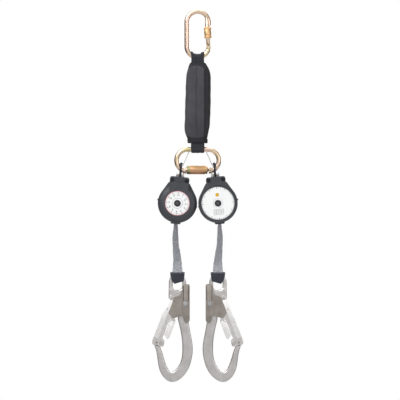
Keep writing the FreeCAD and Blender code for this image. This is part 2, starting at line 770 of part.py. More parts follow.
def hub_caps(side):
    """The screws that close the axle from both sides, each with a hexagonal recess."""
    caps = []
    for sign, face in ((-1, size["front_face"]), (1, size["rear_face"])):
        out = ALONG_Y * sign
        head = Part.makeCylinder(size["cap_radius"], size["cap_height"], out * (face + 0.02), out)
        rim = [e for e in head.Edges if e.CenterOfMass.y * sign > face + 1]
        head = head.makeFillet(0.6, rim)
        stem = Part.makeCylinder(size["cap_stem_radius"], size["cap_stem_length"],
                                 out * (face + 0.02 - size["cap_stem_length"]), out)
        hexagon = [Vector(4.0 * math.cos(math.radians(60 * i)), 0,
                          4.0 * math.sin(math.radians(60 * i))) for i in range(7)]
        recess = Part.Face(Part.makePolygon(hexagon)).extrude(out * 3)
        recess.translate(out * (face + size["cap_height"] - 0.9))
        caps.append(head.fuse(stem).cut(recess))
    return solid(f"{side}_hub_caps", Part.makeCompound(caps), unit_place(side))


def cover_screws(side):
    """The two screws that hold the covers together at the neck."""
    screws = []
    for x in (-size["screw_x"], size["screw_x"]):
        seat = -size["neck_half_depth"] + size["screw_recess_depth"] - 0.02
        start = Vector(x, seat, size["screw_z"])
        head = Part.makeCylinder(size["screw_head_radius"], size["screw_head_height"], start,
                                 -ALONG_Y)
        shank = Part.makeCylinder(size["screw_shank_radius"], size["screw_length"] - 4, start,
                                  ALONG_Y)
        top = seat - size["screw_head_height"]
        cross = block(x - 2.4, x + 2.4, top - 1, top + 1, size["screw_z"] - 0.45,
                      size["screw_z"] + 0.45)
        other = block(x - 0.45, x + 0.45, top - 1, top + 1, size["screw_z"] - 2.4,
                      size["screw_z"] + 2.4)
        screws.append(head.fuse(shank).cut([cross, other]))
    return solid(f"{side}_cover_screws", Part.makeCompound(screws), unit_place(side))


def load_bracket(side):
    """The steel stirrup: two plates that hold the axle, a bridge over the drum and two ears."""
    body = new_body(f"{side}_load_bracket", unit_place(side))
    bridge_z = "$neck_top - 5.4"
    for sign, backwards in ((-1, False), (1, True)):
        plate = new_sketch(body, "XZ_Plane", f"{-sign} * $plate_gap")
        rectangle(plate, "-$plate_half_width", "$plate_half_width", "-$plate_half_width", bridge_z)
        pad(body, plate, "$plate_thick", backwards=backwards)
        if sign < 0:
            bridge = new_sketch(body, "XZ_Plane")
            rectangle(bridge, "-$plate_half_width", "$plate_half_width",
                      f"{bridge_z} - $plate_thick * 1.4", bridge_z)
            pad(body, bridge, "2 * ($plate_gap + $plate_thick)", midplane=True)
    for sign, backwards in ((-1, True), (1, False)):
        ear = new_sketch(body, "YZ_Plane", f"{sign} * $ear_x - $bracket_ear_thick / 2")
        rectangle(ear, "-$ear_half_width", "$ear_half_width", f"{bridge_z} - 1", "$anchor_pin_z")
        pad(body, ear, "$bracket_ear_thick")
        cap = new_sketch(body, "YZ_Plane", f"{sign} * $ear_x - $bracket_ear_thick / 2")
        circle(cap, "0", "$anchor_pin_z", "$ear_half_width * 0.86")
        pad(body, cap, "$bracket_ear_thick")
    for role, z, radius in (("XZ_Plane", "0", "$axle_radius + $running"),
                            ("YZ_Plane", "$anchor_pin_z", "$anchor_pin_radius + $running")):
        bore = new_sketch(body, role)
        circle(bore, "0", z, radius)
        pocket(body, bore, "80", midplane=True)
    return body


def anchor_pin(side):
    """The pin through both ears, with a head at each end."""
    reach = size["ear_x"] + size["bracket_ear_thick"] / 2
    z = size["anchor_pin_z"]
    pin = bar_along(ALONG_X, size["anchor_pin_radius"], -reach - 0.8, reach + 0.8, z=z)
    for low, high in ((-reach - 1.4, -reach - 0.02), (reach + 0.02, reach + 1.4)):
        pin = pin.fuse(bar_along(ALONG_X, size["anchor_pin_radius"] + 1.0, low, high, z=z))
    return solid(f"{side}_anchor_pin", pin.removeSplitter(), unit_place(side))


def belt_face(low_z, low_radius, high_z, high_radius):
    """The face in the YZ plane that a belt round two discs encloses."""
    span = high_z - low_z
    tilt = math.asin((high_radius - low_radius) / span)
    ends = []
    for z, radius in ((low_z, low_radius), (high_z, high_radius)):
        y, rise = radius * math.cos(tilt), -radius * math.sin(tilt)
        ends.append((Vector(0, y, z + rise), Vector(0, -y, z + rise)))
    (low_right, low_left), (high_right, high_left) = ends
    edges = [
        Part.Arc(low_left, Vector(0, 0, low_z - low_radius), low_right),
        Part.LineSegment(low_right, high_right),
        Part.Arc(high_right, Vector(0, 0, high_z + high_radius), high_left),
        Part.LineSegment(high_left, low_left),
    ]
    return Part.Face(Part.Wire([e.toShape() for e in edges]))


def anchor_loop(side):
    """The sewn loop from the bracket's pin round the lower carabiner's bar."""
    pin = size["anchor_pin_radius"] + size["clearance"]
    eye, thick, half = size["loop_eye_radius"], size["cord_thick"], size["cord_half_width"]
    levels = (size["anchor_pin_z"], size["loop_eye_z"])
    outer = belt_face(levels[0], pin + thick, levels[1], eye + thick)
    inner = belt_face(levels[0], pin, levels[1], eye)
    loop = outer.cut(inner).extrude(ALONG_X * (2 * half))
    loop.translate(ALONG_X * -half)
    return solid(f"{side}_anchor_loop", loop, unit_place(side))


def axle(side):
    """The axle, seated in both plates and drilled for the hub's screws."""
    half = size["cavity_half"] - 0.1
    shaft = bar_along(ALONG_Y, size["axle_radius"], -half, half)
    for sign in (-1, 1):
        depth = size["cap_stem_length"] - 2
        shaft = shaft.cut(Part.makeCylinder(size["cap_stem_radius"] + 0.1, depth,
                                            ALONG_Y * (sign * half), -ALONG_Y * sign))
    return solid(f"{side}_axle", shaft, unit_place(side))


# ---------------------------------------------------------------------------- drum and brake


def drum(side):
    """The reel: a hub on the axle between two flanges with round openings."""
    body = new_body(f"{side}_drum", unit_place(side))
    reel = new_sketch(body, "YZ_Plane")
    half, out = "($webbing_width / 2 + $clearance)", "$flange_thick"
    polygon(reel, [
        (f"-{half} - {out}", "$axle_radius + $running"),
        (f"-{half} - {out}", "$flange_radius"),
        (f"-{half}", "$flange_radius"),
        (f"-{half}", "$drum_hub_radius"),
        (half, "$drum_hub_radius"),
        (half, "$flange_radius"),
        (f"{half} + {out}", "$flange_radius"),
        (f"{half} + {out}", "$axle_radius + $running"),
    ])
    revolve(body, reel, "H_Axis")
    window = new_sketch(body, "XZ_Plane", f"{half} - 1")
    circle(window, "0", "$flange_radius * 0.72", "4.2")
    hole = pocket(body, window, f"{out} + 2", backwards=True)
    polar_pattern(body, hole, "Y_Axis", 6)
    for sign in (-1, 1):
        post = new_sketch(body, "XZ_Plane", f"-{half} - {out}")
        circle(post, f"{sign} * $pawl_pivot_radius", "0", "$pin_radius")
        pad(body, post, "$ratchet_thick", backwards=True)
    return body


def wound_webbing(side):
    """The webbing on the drum, as the outer shape of its turns."""
    half = size["webbing_width"] / 2
    inside = size["drum_hub_radius"] + 0.2
    coil = bar_along(ALONG_Y, size["coil_radius"], -half, half)
    coil = coil.cut(bar_along(ALONG_Y, inside, -half - 1, half + 1))
    return solid(f"{side}_wound_webbing", coil, unit_place(side))


def pawl(side, number):
    """A pawl on its post on the drum: a heel, a nose that meets the teeth and a bore."""
    near = size["webbing_width"] / 2 + size["clearance"] + size["flange_thick"] + 0.1
    turn = at(angle=180.0 * number)
    profile = [Vector(-3.6, 0, -3.4), Vector(3.0, 0, -4.0), Vector(4.4, 0, 2.0),
               Vector(3.2, 0, 9.0), Vector(-0.6, 0, 10.5), Vector(-3.4, 0, 3.0)]
    blade = Part.Face(Part.makePolygon(profile + profile[:1])).extrude(ALONG_Y * size["pawl_thick"])
    bore = bar_along(ALONG_Y, size["pin_radius"] + size["running"], -1, 9)
    blade = blade.cut(bore)
    blade.translate(Vector(size["pawl_pivot_radius"], near, 0))
    return solid(f"{side}_pawl_{number + 1}", blade, unit_place(side) * turn)


def ratchet_ring(side):
    """The fixed ring whose inner teeth stop the pawls."""
    body = new_body(f"{side}_ratchet_ring", unit_place(side))
    ring = new_sketch(body, "XZ_Plane", "-$ratchet_near")
    circle(ring, "0", "0", "$ratchet_outer")
    circle(ring, "0", "0", "$ratchet_tip")
    pad(body, ring, "$ratchet_thick", backwards=True)
    space = new_sketch(body, "XZ_Plane", "-$ratchet_near")
    polygon(space, [
        ("$ratchet_tip - 1", "1.2"),
        ("$ratchet_tip - 1", "-5.4"),
        ("$ratchet_root", "-5.0"),
        ("$ratchet_root + 0.6", "0.6"),
    ])
    gap = pocket(body, space, "$ratchet_thick")
    polar_pattern(body, gap, "Y_Axis", 12)
    return body


def power_spring(side):
    """The flat spiral spring that winds the webbing in, as half turns of growing radius."""
    strip, step, reach = size["spring_strip"], size["spring_pitch"] / 2, 2 * size["flange_radius"]
    radius, centre, sign, strips = size["spring_inner"], 0.0, 1, []
    while radius < size["flange_radius"] - 6:
        inner, outer = radius, radius + strip
        ends = [centre + sign * outer, centre - sign * outer]
        half_turn = bar_along(ALONG_Y, outer, 0, size["spring_width"], x=centre)
        half_turn = half_turn.cut(bar_along(ALONG_Y, inner, -1, size["spring_width"] + 1, x=centre))
        low, high = (0, reach) if sign > 0 else (-reach, 0)
        strips.append(half_turn.common(block(min(ends) - 1, max(ends) + 1, -1,
                                             size["spring_width"] + 1, low, high)))
        centre -= sign * step / 2
        radius += step / 2
        sign = -sign
    spiral = strips[0].fuse(strips[1:]).removeSplitter()
    spiral.translate(ALONG_Y * (-size["cavity_half"] + 1.9))
    return solid(f"{side}_power_spring", spiral, unit_place(side))


def exit_guide(side):
    """The guide that lines the mouth, with rounded lips round a slot for the webbing."""
    body = new_body(f"{side}_exit_guide", unit_place(side))
    outline = new_sketch(body, "XZ_Plane")
    rectangle(outline, "-$guide_half_x", "$guide_half_x", "-$guide_bottom", "-$guide_top")
    pad(body, outline, "2 * $guide_half_y", midplane=True)
    round_edges(body, "2.4", lambda e: is_along(e, ALONG_Y)
                and abs(e.CenterOfMass.z + size["guide_bottom"]) < 0.1)
    slot = new_sketch(body, "XY_Plane")
    rectangle(slot, "-$guide_slot_x", "$guide_slot_x", "-$guide_slot_y", "$guide_slot_y")
    pocket(body, slot, "$guide_bottom + 1")
    taper = new_sketch(body, "XZ_Plane")
    polygon(taper, [
        ("$guide_slot_x - 0.2", "-$guide_top - 5.5"),
        ("$guide_half_x - 1.2", "-$guide_top + 0.5"),
        ("-$guide_slot_x", "-$guide_top + 0.5"),
        ("-$guide_slot_x", "-$guide_top - 5.5"),
    ])
    pocket(body, taper, "2 * $guide_slot_y", midplane=True)
    return body


# ---------------------------------------------------------------------------- webbing and hook


def eye_place(side):
    """The frame of a hook: its origin is the centre of its eye."""
    return LEGS[side] * at(size["eye_x"], 0, size["eye_z"])


def lifeline_webbing(side):
    """The exposed webbing, which leaves the guide edge-on and turns a quarter turn to the hook."""
    half_w, half_t = size["webbing_width"] / 2, size["webbing_thick"] / 2
    top, low = size["line_top_z"], size["line_end_z"]
    top_x, low_x = size["line_top_x"], size["eye_x"]
    sections, steps = [], 8
    for i in range(steps + 1):
        share = i / steps
        turn = math.radians(90 * (1 - share * share * (3 - 2 * share)))
        width = half_w + (size["end_loop_width"] / 2 - half_w) * share
        x, z = top_x + (low_x - top_x) * share, top + (low - top) * share
        a = Vector(math.cos(turn), math.sin(turn), 0) * width
        b = Vector(-math.sin(turn), math.cos(turn), 0) * half_t
        middle = Vector(x, 0, z)
        corners = [middle + a + b, middle - a + b, middle - a - b, middle + a - b]
        sections.append(Part.makePolygon(corners + corners[:1]))
    strap = Part.makeLoft(sections, True, False)
    return solid(f"{side}_lifeline_webbing", strap, LEGS[side])


def eye_bar_half():
    return size["eye_thick"] / 2 + size["clearance"]


def end_loop(side):
    """The sewn loop round the top of the hook's eye: two plies that meet above it."""
    inner_y = eye_bar_half()
    thick, half = size["webbing_thick"], size["end_loop_width"] / 2
    hole_top = size["eye_rise"] + size["eye_hole"]
    eye_top = size["eye_rise"] + size["eye_outer"]
    end_radius = thick * 0.6
    high = size["line_end_z"] - size["eye_z"] - size["clearance"] - end_radius
    corners = [
        (-inner_y - thick, hole_top - size["eye_play"] - thick), (inner_y + thick, hole_top - size["eye_play"] - thick),
        (inner_y + thick, eye_top + 2), (end_radius, high), (-end_radius, high),
        (-inner_y - thick, eye_top + 2),
    ]
    outline = [Vector(-half, y, z) for y, z in corners]
    loop = Part.Face(Part.makePolygon(outline + outline[:1])).extrude(ALONG_X * (2 * half))
    loop = loop.fuse(bar_along(ALONG_X, end_radius, -half, half, z=high))
    inside = [Vector(-half - 1, y, z) for y, z in (
        (-inner_y, hole_top - size["eye_play"]), (inner_y, hole_top - size["eye_play"]), (inner_y, eye_top + 1.4),
        (0.0, high - 9), (-inner_y, eye_top + 1.4))]
    hollow = Part.Face(Part.makePolygon(inside + inside[:1])).extrude(ALONG_X * (2 * half + 2))
    return solid(f"{side}_end_loop", loop.cut(hollow).removeSplitter(), eye_place(side))


def wear_pad(side):
    """The woven sleeve over the loop: a front and a back flap joined above the eye."""
    inner = eye_bar_half() + size["webbing_thick"] + 0.2
    outer, half = inner + size["pad_thick"], size["pad_width"] / 2
    top, low = size["pad_top"] + 2.0, size["pad_bottom"]
    sleeve = block(-half, half, -outer, outer, low, top)
    rim = [e for e in sleeve.Edges if is_along(e, ALONG_X) and e.CenterOfMass.z > top - 0.1]
    sleeve = sleeve.makeFillet(size["pad_thick"], rim)
    room = block(-half - 1, half + 1, -inner, inner, low - 1, top - 1.6)
    slot = size["end_loop_width"] / 2 + 0.3
    way = block(-slot, slot, -inner, inner, low, top + 1)
    return solid(f"{side}_wear_pad", sleeve.cut([room, way]), eye_place(side))


def edge_curve(points):
    spline = Part.BSplineCurve()
    spline.interpolate([Vector(x, 0, z) for x, z in points])
    return spline.toShape()


def hook_points(table):
    return [(size[f"hook_{name}_x"], size[f"hook_{name}_z"]) for name in table]


def hook_body(side):
    """The forged hook: a flat eye, a shank and a bow that ends in a broad tip."""
    half, eye_half = size["hook_thick"] / 2, size["eye_thick"] / 2
    rise, outer_r, hole_r = size["eye_rise"], size["eye_outer"], size["eye_hole"]
    outer = hook_points(OUTER_EDGE)
    tip = hook_points(TIP_EDGE)
    inner = hook_points(INNER_EDGE)
    neck_right, neck_left = (outer_r, rise - 2), (-outer_r, rise - 2)
    lug = (size["gate_pivot_x"] - 7.4, size["gate_pivot_z"])
    under = (size["gate_pivot_x"] + 2.0, size["gate_pivot_z"] - 8.2)
    right_edge = edge_curve([neck_right, (outer_r + 0.6, -24)] + outer + tip[:1])
    tip_edge = Part.LineSegment(Vector(tip[0][0], 0, tip[0][1]),
                                Vector(tip[1][0], 0, tip[1][1])).toShape()
    throat = edge_curve(tip[1:] + inner)
    heel = Part.Arc(Vector(inner[-1][0], 0, inner[-1][1]), Vector(under[0], 0, under[1]),
                    Vector(lug[0], 0, lug[1])).toShape()
    left = Part.LineSegment(Vector(lug[0], 0, lug[1]),
                            Vector(neck_left[0], 0, neck_left[1])).toShape()
    crown = Part.LineSegment(Vector(neck_left[0], 0, neck_left[1]),
                             Vector(neck_right[0], 0, neck_right[1])).toShape()
    wire = Part.Wire(Part.__sortEdges__([right_edge, tip_edge, throat, heel, left, crown]))
    blade = Part.Face(wire).extrude(ALONG_Y * (2 * half))
    blade.translate(ALONG_Y * -half)
    rims = [e for e in blade.Edges if abs(abs(e.CenterOfMass.y) - half) < 0.01
            and e.BoundBox.ZMax < size["lever_pivot_z"]]
    blade = blade.makeChamfer(size["forging_bevel"], rims)
    ring = bar_along(ALONG_Y, outer_r, -eye_half, eye_half, z=rise)
    wide, step_z = 3 * outer_r, -size["eye_step"]
    above = block(-wide, wide, -half - 1, half + 1, step_z, wide)
    thin = blade.common(above).common(block(-wide, wide, -eye_half, eye_half, step_z - 1, wide))
    forged = blade.cut(above).fuse([thin, ring])
    hole_top = rise + hole_r
    hole = block(-hole_r, hole_r, -20, 20, hole_top - size["eye_hole_length"], hole_top)
    corners = [e for e in hole.Edges if is_along(e, ALONG_Y)]
    upper = [e for e in corners if e.CenterOfMass.z > rise]
    hole = hole.makeFillet(size["eye_corner"], upper)
    lower = [e for e in hole.Edges if is_along(e, ALONG_Y) and e.CenterOfMass.z < rise - hole_r]
    hole = hole.makeFillet(size["eye_low_corner"], lower)
    forged = forged.cut(hole)
    rivet = size["rivet_radius"] + size["running"]
    for x, z in (("gate_pivot_x", "gate_pivot_z"), ("lever_pivot_x", "lever_pivot_z")):
        forged = forged.cut(bar_along(ALONG_Y, rivet, -20, 20, x=size[x], z=size[z]))
    return solid(f"{side}_hook_body", forged.removeSplitter(), eye_place(side))


def gate_inner_half():
    return size["hook_thick"] / 2 + size["clearance"]


def lever_inner_half():
    return gate_inner_half() + size["gate_flange"] + size["clearance"]


def hook_gate(side):
    """The folded gate: a channel whose flanges straddle the hook from its pivot to its tip."""
    hinge = at(size["gate_pivot_x"], 0, size["gate_pivot_z"], ALONG_Y, size["gate_angle"])
    body = new_body(f"{side}_hook_gate", eye_place(side) * hinge)
    flange = new_sketch(body, "XZ_Plane")
    polygon(flange, [
        ("-$gate_back", "4.0"), ("-3.5", "7.0"), ("3.5", "7.0"), ("$gate_back", "3.0"),
        ("$flange_reach - 2.5", "-20"), ("$strip_reach - 9", "-32"), ("$strip_reach - 4", "-38"),
        ("$strip_reach", "-46"), ("$strip_reach + 0.6", "-84"), ("$strip_reach - 2.5", "-89"),
        ("$strip_reach - 5.5", "-86"), ("$strip_reach - 6.5", "-50"),
        ("$flange_reach + 1", "-44"), ("$flange_reach - 1", "-60"), ("$flange_reach", "-80"),
        ("$flange_reach - 1", "-$gate_length + 20"), ("$block_reach - 1.5", "-$gate_length + 16"),
        ("$block_reach", "-$gate_length + 5"), ("$block_reach - 7", "-$gate_length + 1.5"),
        ("5.4", "-$gate_length + 3"), ("1.5", "-$gate_length"), ("-4.5", "-$gate_length + 1.5"),
        ("-$gate_back", "-$gate_length + 8"),
    ])
    width = "2 * ($hook_thick / 2 + $clearance + $gate_flange)"
    pad(body, flange, width, midplane=True)
    channel = new_sketch(body, "XZ_Plane")
    polygon(channel, [
        ("-$gate_back + $gate_web", "-13"), ("-12", "-13"), ("-12", "12"),
        ("$strip_reach + 5", "12"), ("$strip_reach + 5", "-$gate_length - 5"),
        ("-12", "-$gate_length - 5"), ("-12", "-$gate_length + 22"),
        ("-$gate_back + $gate_web", "-$gate_length + 22"),
    ])
    pocket(body, channel, "$hook_thick + 2 * $clearance", midplane=True)
    bore = new_sketch(body, "XZ_Plane")
    circle(bore, "0", "0", "$rivet_radius + $running")
    pocket(body, bore, "60", midplane=True)
    cross = new_sketch(body, "XZ_Plane")
    circle(cross, "3.6", "-$gate_length + 7.6", "2.0")
    pad(body, cross, width, midplane=True)
    return body


def hook_lever(side):
    """The back lock lever: a grip behind the shank and two cheeks that reach to the gate's pivot."""
    hinge = at(size["lever_pivot_x"], 0, size["lever_pivot_z"])
    body = new_body(f"{side}_hook_lever", eye_place(side) * hinge)
    cheek = new_sketch(body, "XZ_Plane")
    polygon(cheek, [
        ("-7.4", "43.0"), ("8.4", "43.0"), ("9.6", "40.0"), ("9.6", "-37.0"), ("6.6", "-43.0"),
        ("0.2", "-43.6"), ("-3.4", "-38.0"), ("-6.0", "-27.0"), ("-29.5", "-33.0"),
        ("-37.0", "-22.0"), ("-37.4", "8.0"), ("-33.0", "12.4"), ("-12.0", "19.0"),
        ("-8.0", "26.0"),
    ])
    cover = "2 * ($hook_thick / 2 + 2 * $clearance + $gate_flange + $lever_sheet)"
    pad(body, cheek, cover, midplane=True)
    channel = new_sketch(body, "XZ_Plane")
    polygon(channel, [("-60", "60"), ("9.6 - $lever_web", "60"), ("9.6 - $lever_web", "-60"),
                      ("-60", "-60")])
    pocket(body, channel, "2 * ($hook_thick / 2 + 2 * $clearance + $gate_flange)", midplane=True)
    bore = new_sketch(body, "XZ_Plane")
    circle(bore, "0", "0", "$rivet_radius + $running")
    pocket(body, bore, "60", midplane=True)
    over = new_sketch(body, "XZ_Plane")
    circle(over, "$gate_pivot_x - $lever_pivot_x", "$gate_pivot_z - $lever_pivot_z",
           "$rivet_radius + 1.2")
    pocket(body, over, "60", midplane=True)
    return body


def hook_rivets(side):
    """The gate's rivet, flush below the lever's cheeks, and the lever's rivet with two heads."""
    radius, head_radius = size["rivet_radius"], size["rivet_head_radius"]
    gate_out = gate_inner_half() + size["gate_flange"] + size["clearance"] / 2
    lever_out = lever_inner_half() + size["lever_sheet"] + size["running"]
    tall = lever_out + size["rivet_head_height"]
    x, z = size["gate_pivot_x"], size["gate_pivot_z"]
    gate_rivet = bar_along(ALONG_Y, radius, -gate_out, gate_out, x, 0, z)
    x, z = size["lever_pivot_x"], size["lever_pivot_z"]
    lever_rivet = bar_along(ALONG_Y, radius, -tall, tall, x, 0, z)
    heads = [bar_along(ALONG_Y, head_radius, low, high, x, 0, z)
             for low, high in ((-tall, -lever_out), (lever_out, tall))]
    lever_rivet = lever_rivet.fuse(heads).removeSplitter()
    rivets = Part.makeCompound([gate_rivet, lever_rivet])
    return solid(f"{side}_hook_rivets", rivets, eye_place(side))


for leg in LEGS:
    keeper_wire(leg)
    front_cover(leg)
    rear_cover(leg)
    labels(leg)
    hub_caps(leg)
    cover_screws(leg)
    load_bracket(leg)
    anchor_pin(leg)
    anchor_loop(leg)
    axle(leg)
    drum(leg)
    wound_webbing(leg)
    pawl(leg, 0)
    pawl(leg, 1)
    ratchet_ring(leg)
    power_spring(leg)
    exit_guide(leg)
    lifeline_webbing(leg)
    end_loop(leg)
    wear_pad(leg)
    hook_body(leg)
    hook_gate(leg)
    hook_lever(leg)
    hook_rivets(leg)

# ---------------------------------------------------------------------------- check and write

FORMS = ("PartDesign::Body", "Part::Feature", "Part::Cylinder")


def pieces():
    """Every sub-part of the document: the bodies, primitives and shapes that carry their own label."""
    owned = {f.Name for b in doc.Objects if b.TypeId == "PartDesign::Body" for f in b.Group}
    return [o for o in doc.Objects if o.TypeId in FORMS and o.Name not in owned]


doc.recompute()
for thing in doc.Objects:
    if "Invalid" in thing.State or "Error" in thing.State:
        raise RuntimeError(f"{thing.Label} failed: {thing.State}")
os.makedirs("parts", exist_ok=True)
for piece in pieces():
    shape = piece.Shape
    if shape.isNull() or not shape.isValid() or not shape.Solids:
        raise RuntimeError(f"{piece.Label} has no valid shape")
    shape.exportStep(f"parts/{piece.Label}.step")
    print(f"{piece.Label}: {len(shape.Solids)} solid(s), {shape.Volume:.0f} mm3")
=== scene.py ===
import json
import logging
import math
from dataclasses import dataclass
from enum import Enum
from typing import Optional, Sequence

import bmesh
import bpy
from mathutils import Matrix, Vector
from mathutils.bvhtree import BVHTree


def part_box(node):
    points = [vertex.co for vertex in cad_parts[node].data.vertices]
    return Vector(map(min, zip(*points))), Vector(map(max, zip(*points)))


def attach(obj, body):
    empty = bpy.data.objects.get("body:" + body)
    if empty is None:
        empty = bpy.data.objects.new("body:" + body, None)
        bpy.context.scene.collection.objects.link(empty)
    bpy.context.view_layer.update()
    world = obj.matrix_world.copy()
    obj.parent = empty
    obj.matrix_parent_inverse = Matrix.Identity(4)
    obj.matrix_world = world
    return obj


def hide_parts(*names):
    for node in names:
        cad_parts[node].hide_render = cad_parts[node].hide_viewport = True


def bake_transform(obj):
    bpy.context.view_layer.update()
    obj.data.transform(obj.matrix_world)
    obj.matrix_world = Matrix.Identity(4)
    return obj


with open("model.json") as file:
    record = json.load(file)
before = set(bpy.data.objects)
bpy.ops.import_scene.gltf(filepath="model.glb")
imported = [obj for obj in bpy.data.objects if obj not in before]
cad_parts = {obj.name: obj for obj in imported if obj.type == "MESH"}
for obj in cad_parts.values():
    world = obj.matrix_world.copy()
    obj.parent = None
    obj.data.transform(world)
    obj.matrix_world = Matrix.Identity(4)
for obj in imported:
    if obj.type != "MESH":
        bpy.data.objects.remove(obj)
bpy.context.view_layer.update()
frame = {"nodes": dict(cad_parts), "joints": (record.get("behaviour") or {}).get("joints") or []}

LOG = logging.getLogger("lifeline")

MM = 0.001
CAD_WELD = 2e-6
SAME_POINT = 1e-7
RIM_CORNERS = 4
SWELLING_FRAMES = 20
FLOOR_GLOW = 0.42
FULL_TURN = 2 * math.pi
ALONG_Y, ALONG_Z = Vector((0, 1, 0)), Vector((0, 0, 1))
WHITE = (1.0, 1.0, 1.0)


class Side(Enum):
    """The two legs of the lanyard."""

    LEFT = "left"
    RIGHT = "right"

    @property
    def turn(self) -> Matrix:
        """The half turn about Z that makes the left leg into this one."""
        return Matrix.Rotation(math.pi, 4, "Z") if self is Side.RIGHT else Matrix()


def mm(*values: float) -> Vector:
    """A point from millimetres."""
    return Vector(values) * MM


def moved(place: Matrix, *values: float) -> Matrix:
    """A place that is moved, along its own axes, by millimetres."""
    return place @ Matrix.Translation(mm(*values))


# --------------------------------------------------------------------------
# Materials
# --------------------------------------------------------------------------


Colour = tuple[float, float, float]
Socket = bpy.types.NodeSocket


class NodeSheet:
    """One material and the nodes that it is wired from."""

    def __init__(self, name: str) -> None:
        """Makes the material.

        Args:
            name: the finish's own name.
        """
        self.material = bpy.data.materials.new(name)
        self.material.use_nodes = True
        self.tree = self.material.node_tree
        self.shader = self.tree.nodes["Principled BSDF"]
        self.coords = self.tree.nodes.new("ShaderNodeTexCoord")

    def wire(self, source: Socket, target: Socket) -> None:
        """Links one socket to another."""
        self.tree.links.new(source, target)

    def put(self, slot: Socket, value: object) -> None:
        """Gives a socket another socket, a number or a colour."""
        if isinstance(value, Socket):
            self.wire(value, slot)
        elif isinstance(value, (int, float)):
            slot.default_value = value
        else:
            slot.default_value = (*value, 1.0)

    def stretched(self, kind: str, scale: Sequence[float]) -> Socket:
        """Coordinates, stretched.

        Args:
            kind: the coordinates' name.
            scale: stretch along each axis.

        Returns:
            The vector socket of the mapping.
        """
        mapping = self.tree.nodes.new("ShaderNodeMapping")
        mapping.inputs["Scale"].default_value = scale
        self.wire(self.coords.outputs[kind], mapping.inputs["Vector"])
        return mapping.outputs["Vector"]

    def noise(self, scale: float, detail: float = 3.0, rough: float = 0.55,
              place: Optional[Socket] = None) -> Socket:
        """A noise value from 0 to 1.

        Args:
            scale: how many features fit in a metre.
            detail: how many finer layers it has.
            rough: how strong these are.
            place: where it is read, the object's own coordinates if not given.

        Returns:
            The factor socket.
        """
        node = self.tree.nodes.new("ShaderNodeTexNoise")
        node.inputs["Scale"].default_value = scale
        node.inputs["Detail"].default_value = detail
        node.inputs["Roughness"].default_value = rough
        self.wire(self.coords.outputs["Object"] if place is None else place,
                  node.inputs["Vector"])
        return node.outputs["Fac"]

    def maths(self, kind: str, *terms: object) -> Socket:
        """One step of arithmetic.

        Args:
            kind: the operation's name.
            terms: sockets or numbers.

        Returns:
            The result's socket.
        """
        node = self.tree.nodes.new("ShaderNodeMath")
        node.operation = kind
        for slot, term in zip(node.inputs, terms):
            self.put(slot, term)
        return node.outputs[0]

    def ramp(self, factor: Socket, *stops: tuple[float, Colour]) -> Socket:
        """A colour for each value.

        Args:
            factor: the value's socket.
            stops: pairs of place and linear colour, in order.

        Returns:
            The colour socket.
        """
        node = self.tree.nodes.new("ShaderNodeValToRGB")
        band = node.color_ramp
        while len(band.elements) < len(stops):
            band.elements.new(0.5)
        for element, (place, colour) in zip(band.elements, stops):
            element.position = place
            element.color = (*colour, 1.0)
        self.wire(factor, node.inputs["Fac"])
        return node.outputs["Color"]

    def mix(self, factor: object, first: object, second: object,
            blend: str = "MIX") -> Socket:
        """Mixes two colours.

        Args:
            factor: a socket or a number.
            first: a colour socket or a linear colour.
            second: a colour socket or a linear colour.
            blend: the blend's name.

        Returns:
            The colour socket.
        """
        node = self.tree.nodes.new("ShaderNodeMix")
        node.data_type = "RGBA"
        node.blend_type = blend
        for slot, value in ((0, factor), (6, first), (7, second)):
            self.put(node.inputs[slot], value)
        return node.outputs[2]

    def spread(self, factor: Socket, low: float, high: float) -> Socket:
        """Stretches a 0 to 1 value to a range.

        Args:
            factor: the value's socket.
            low: the result at 0.
            high: the result at 1.

        Returns:
            The result's socket.
        """
        node = self.tree.nodes.new("ShaderNodeMapRange")
        node.inputs["To Min"].default_value = low
        node.inputs["To Max"].default_value = high
        self.wire(factor, node.inputs["Value"])
        return node.outputs["Result"]

    def bump(self, height: Socket, depth: float, under: Optional[Socket] = None) -> Socket:
        """Relief from a height value.

        Args:
            height: the height's socket.
            depth: metres of relief at a height of 1.
            under: the normal that it lies on.

        Returns:
            The normal socket.
        """
        node = self.tree.nodes.new("ShaderNodeBump")
        node.inputs["Strength"].default_value = 1.0
        node.inputs["Distance"].default_value = depth
        self.wire(height, node.inputs["Height"])
        if under is not None:
            self.wire(under, node.inputs["Normal"])
        return node.outputs["Normal"]

    def split(self, kind: str = "Object") -> tuple[Socket, Socket, Socket]:
        """The coordinates of a kind, as X, Y and Z."""
        split = self.tree.nodes.new("ShaderNodeSeparateXYZ")
        self.wire(self.coords.outputs[kind], split.inputs[0])
        return tuple(split.outputs)

    def finish(self, colour: Socket, rough: Socket, relief: Socket,
               **fixed: float) -> bpy.types.Material:
        """Wires the shader and sets its uniform values.

        Args:
            colour: the base colour.
            rough: the roughness.
            relief: the normal.
            fixed: values for the shader's own sockets, with _ for a space.

        Returns:
            The material.
        """
        fixed.update(Base_Color=colour, Roughness=rough, Normal=relief)
        for key, value in fixed.items():
            self.put(self.shader.inputs[key.replace("_", " ")], value)
        return self.material


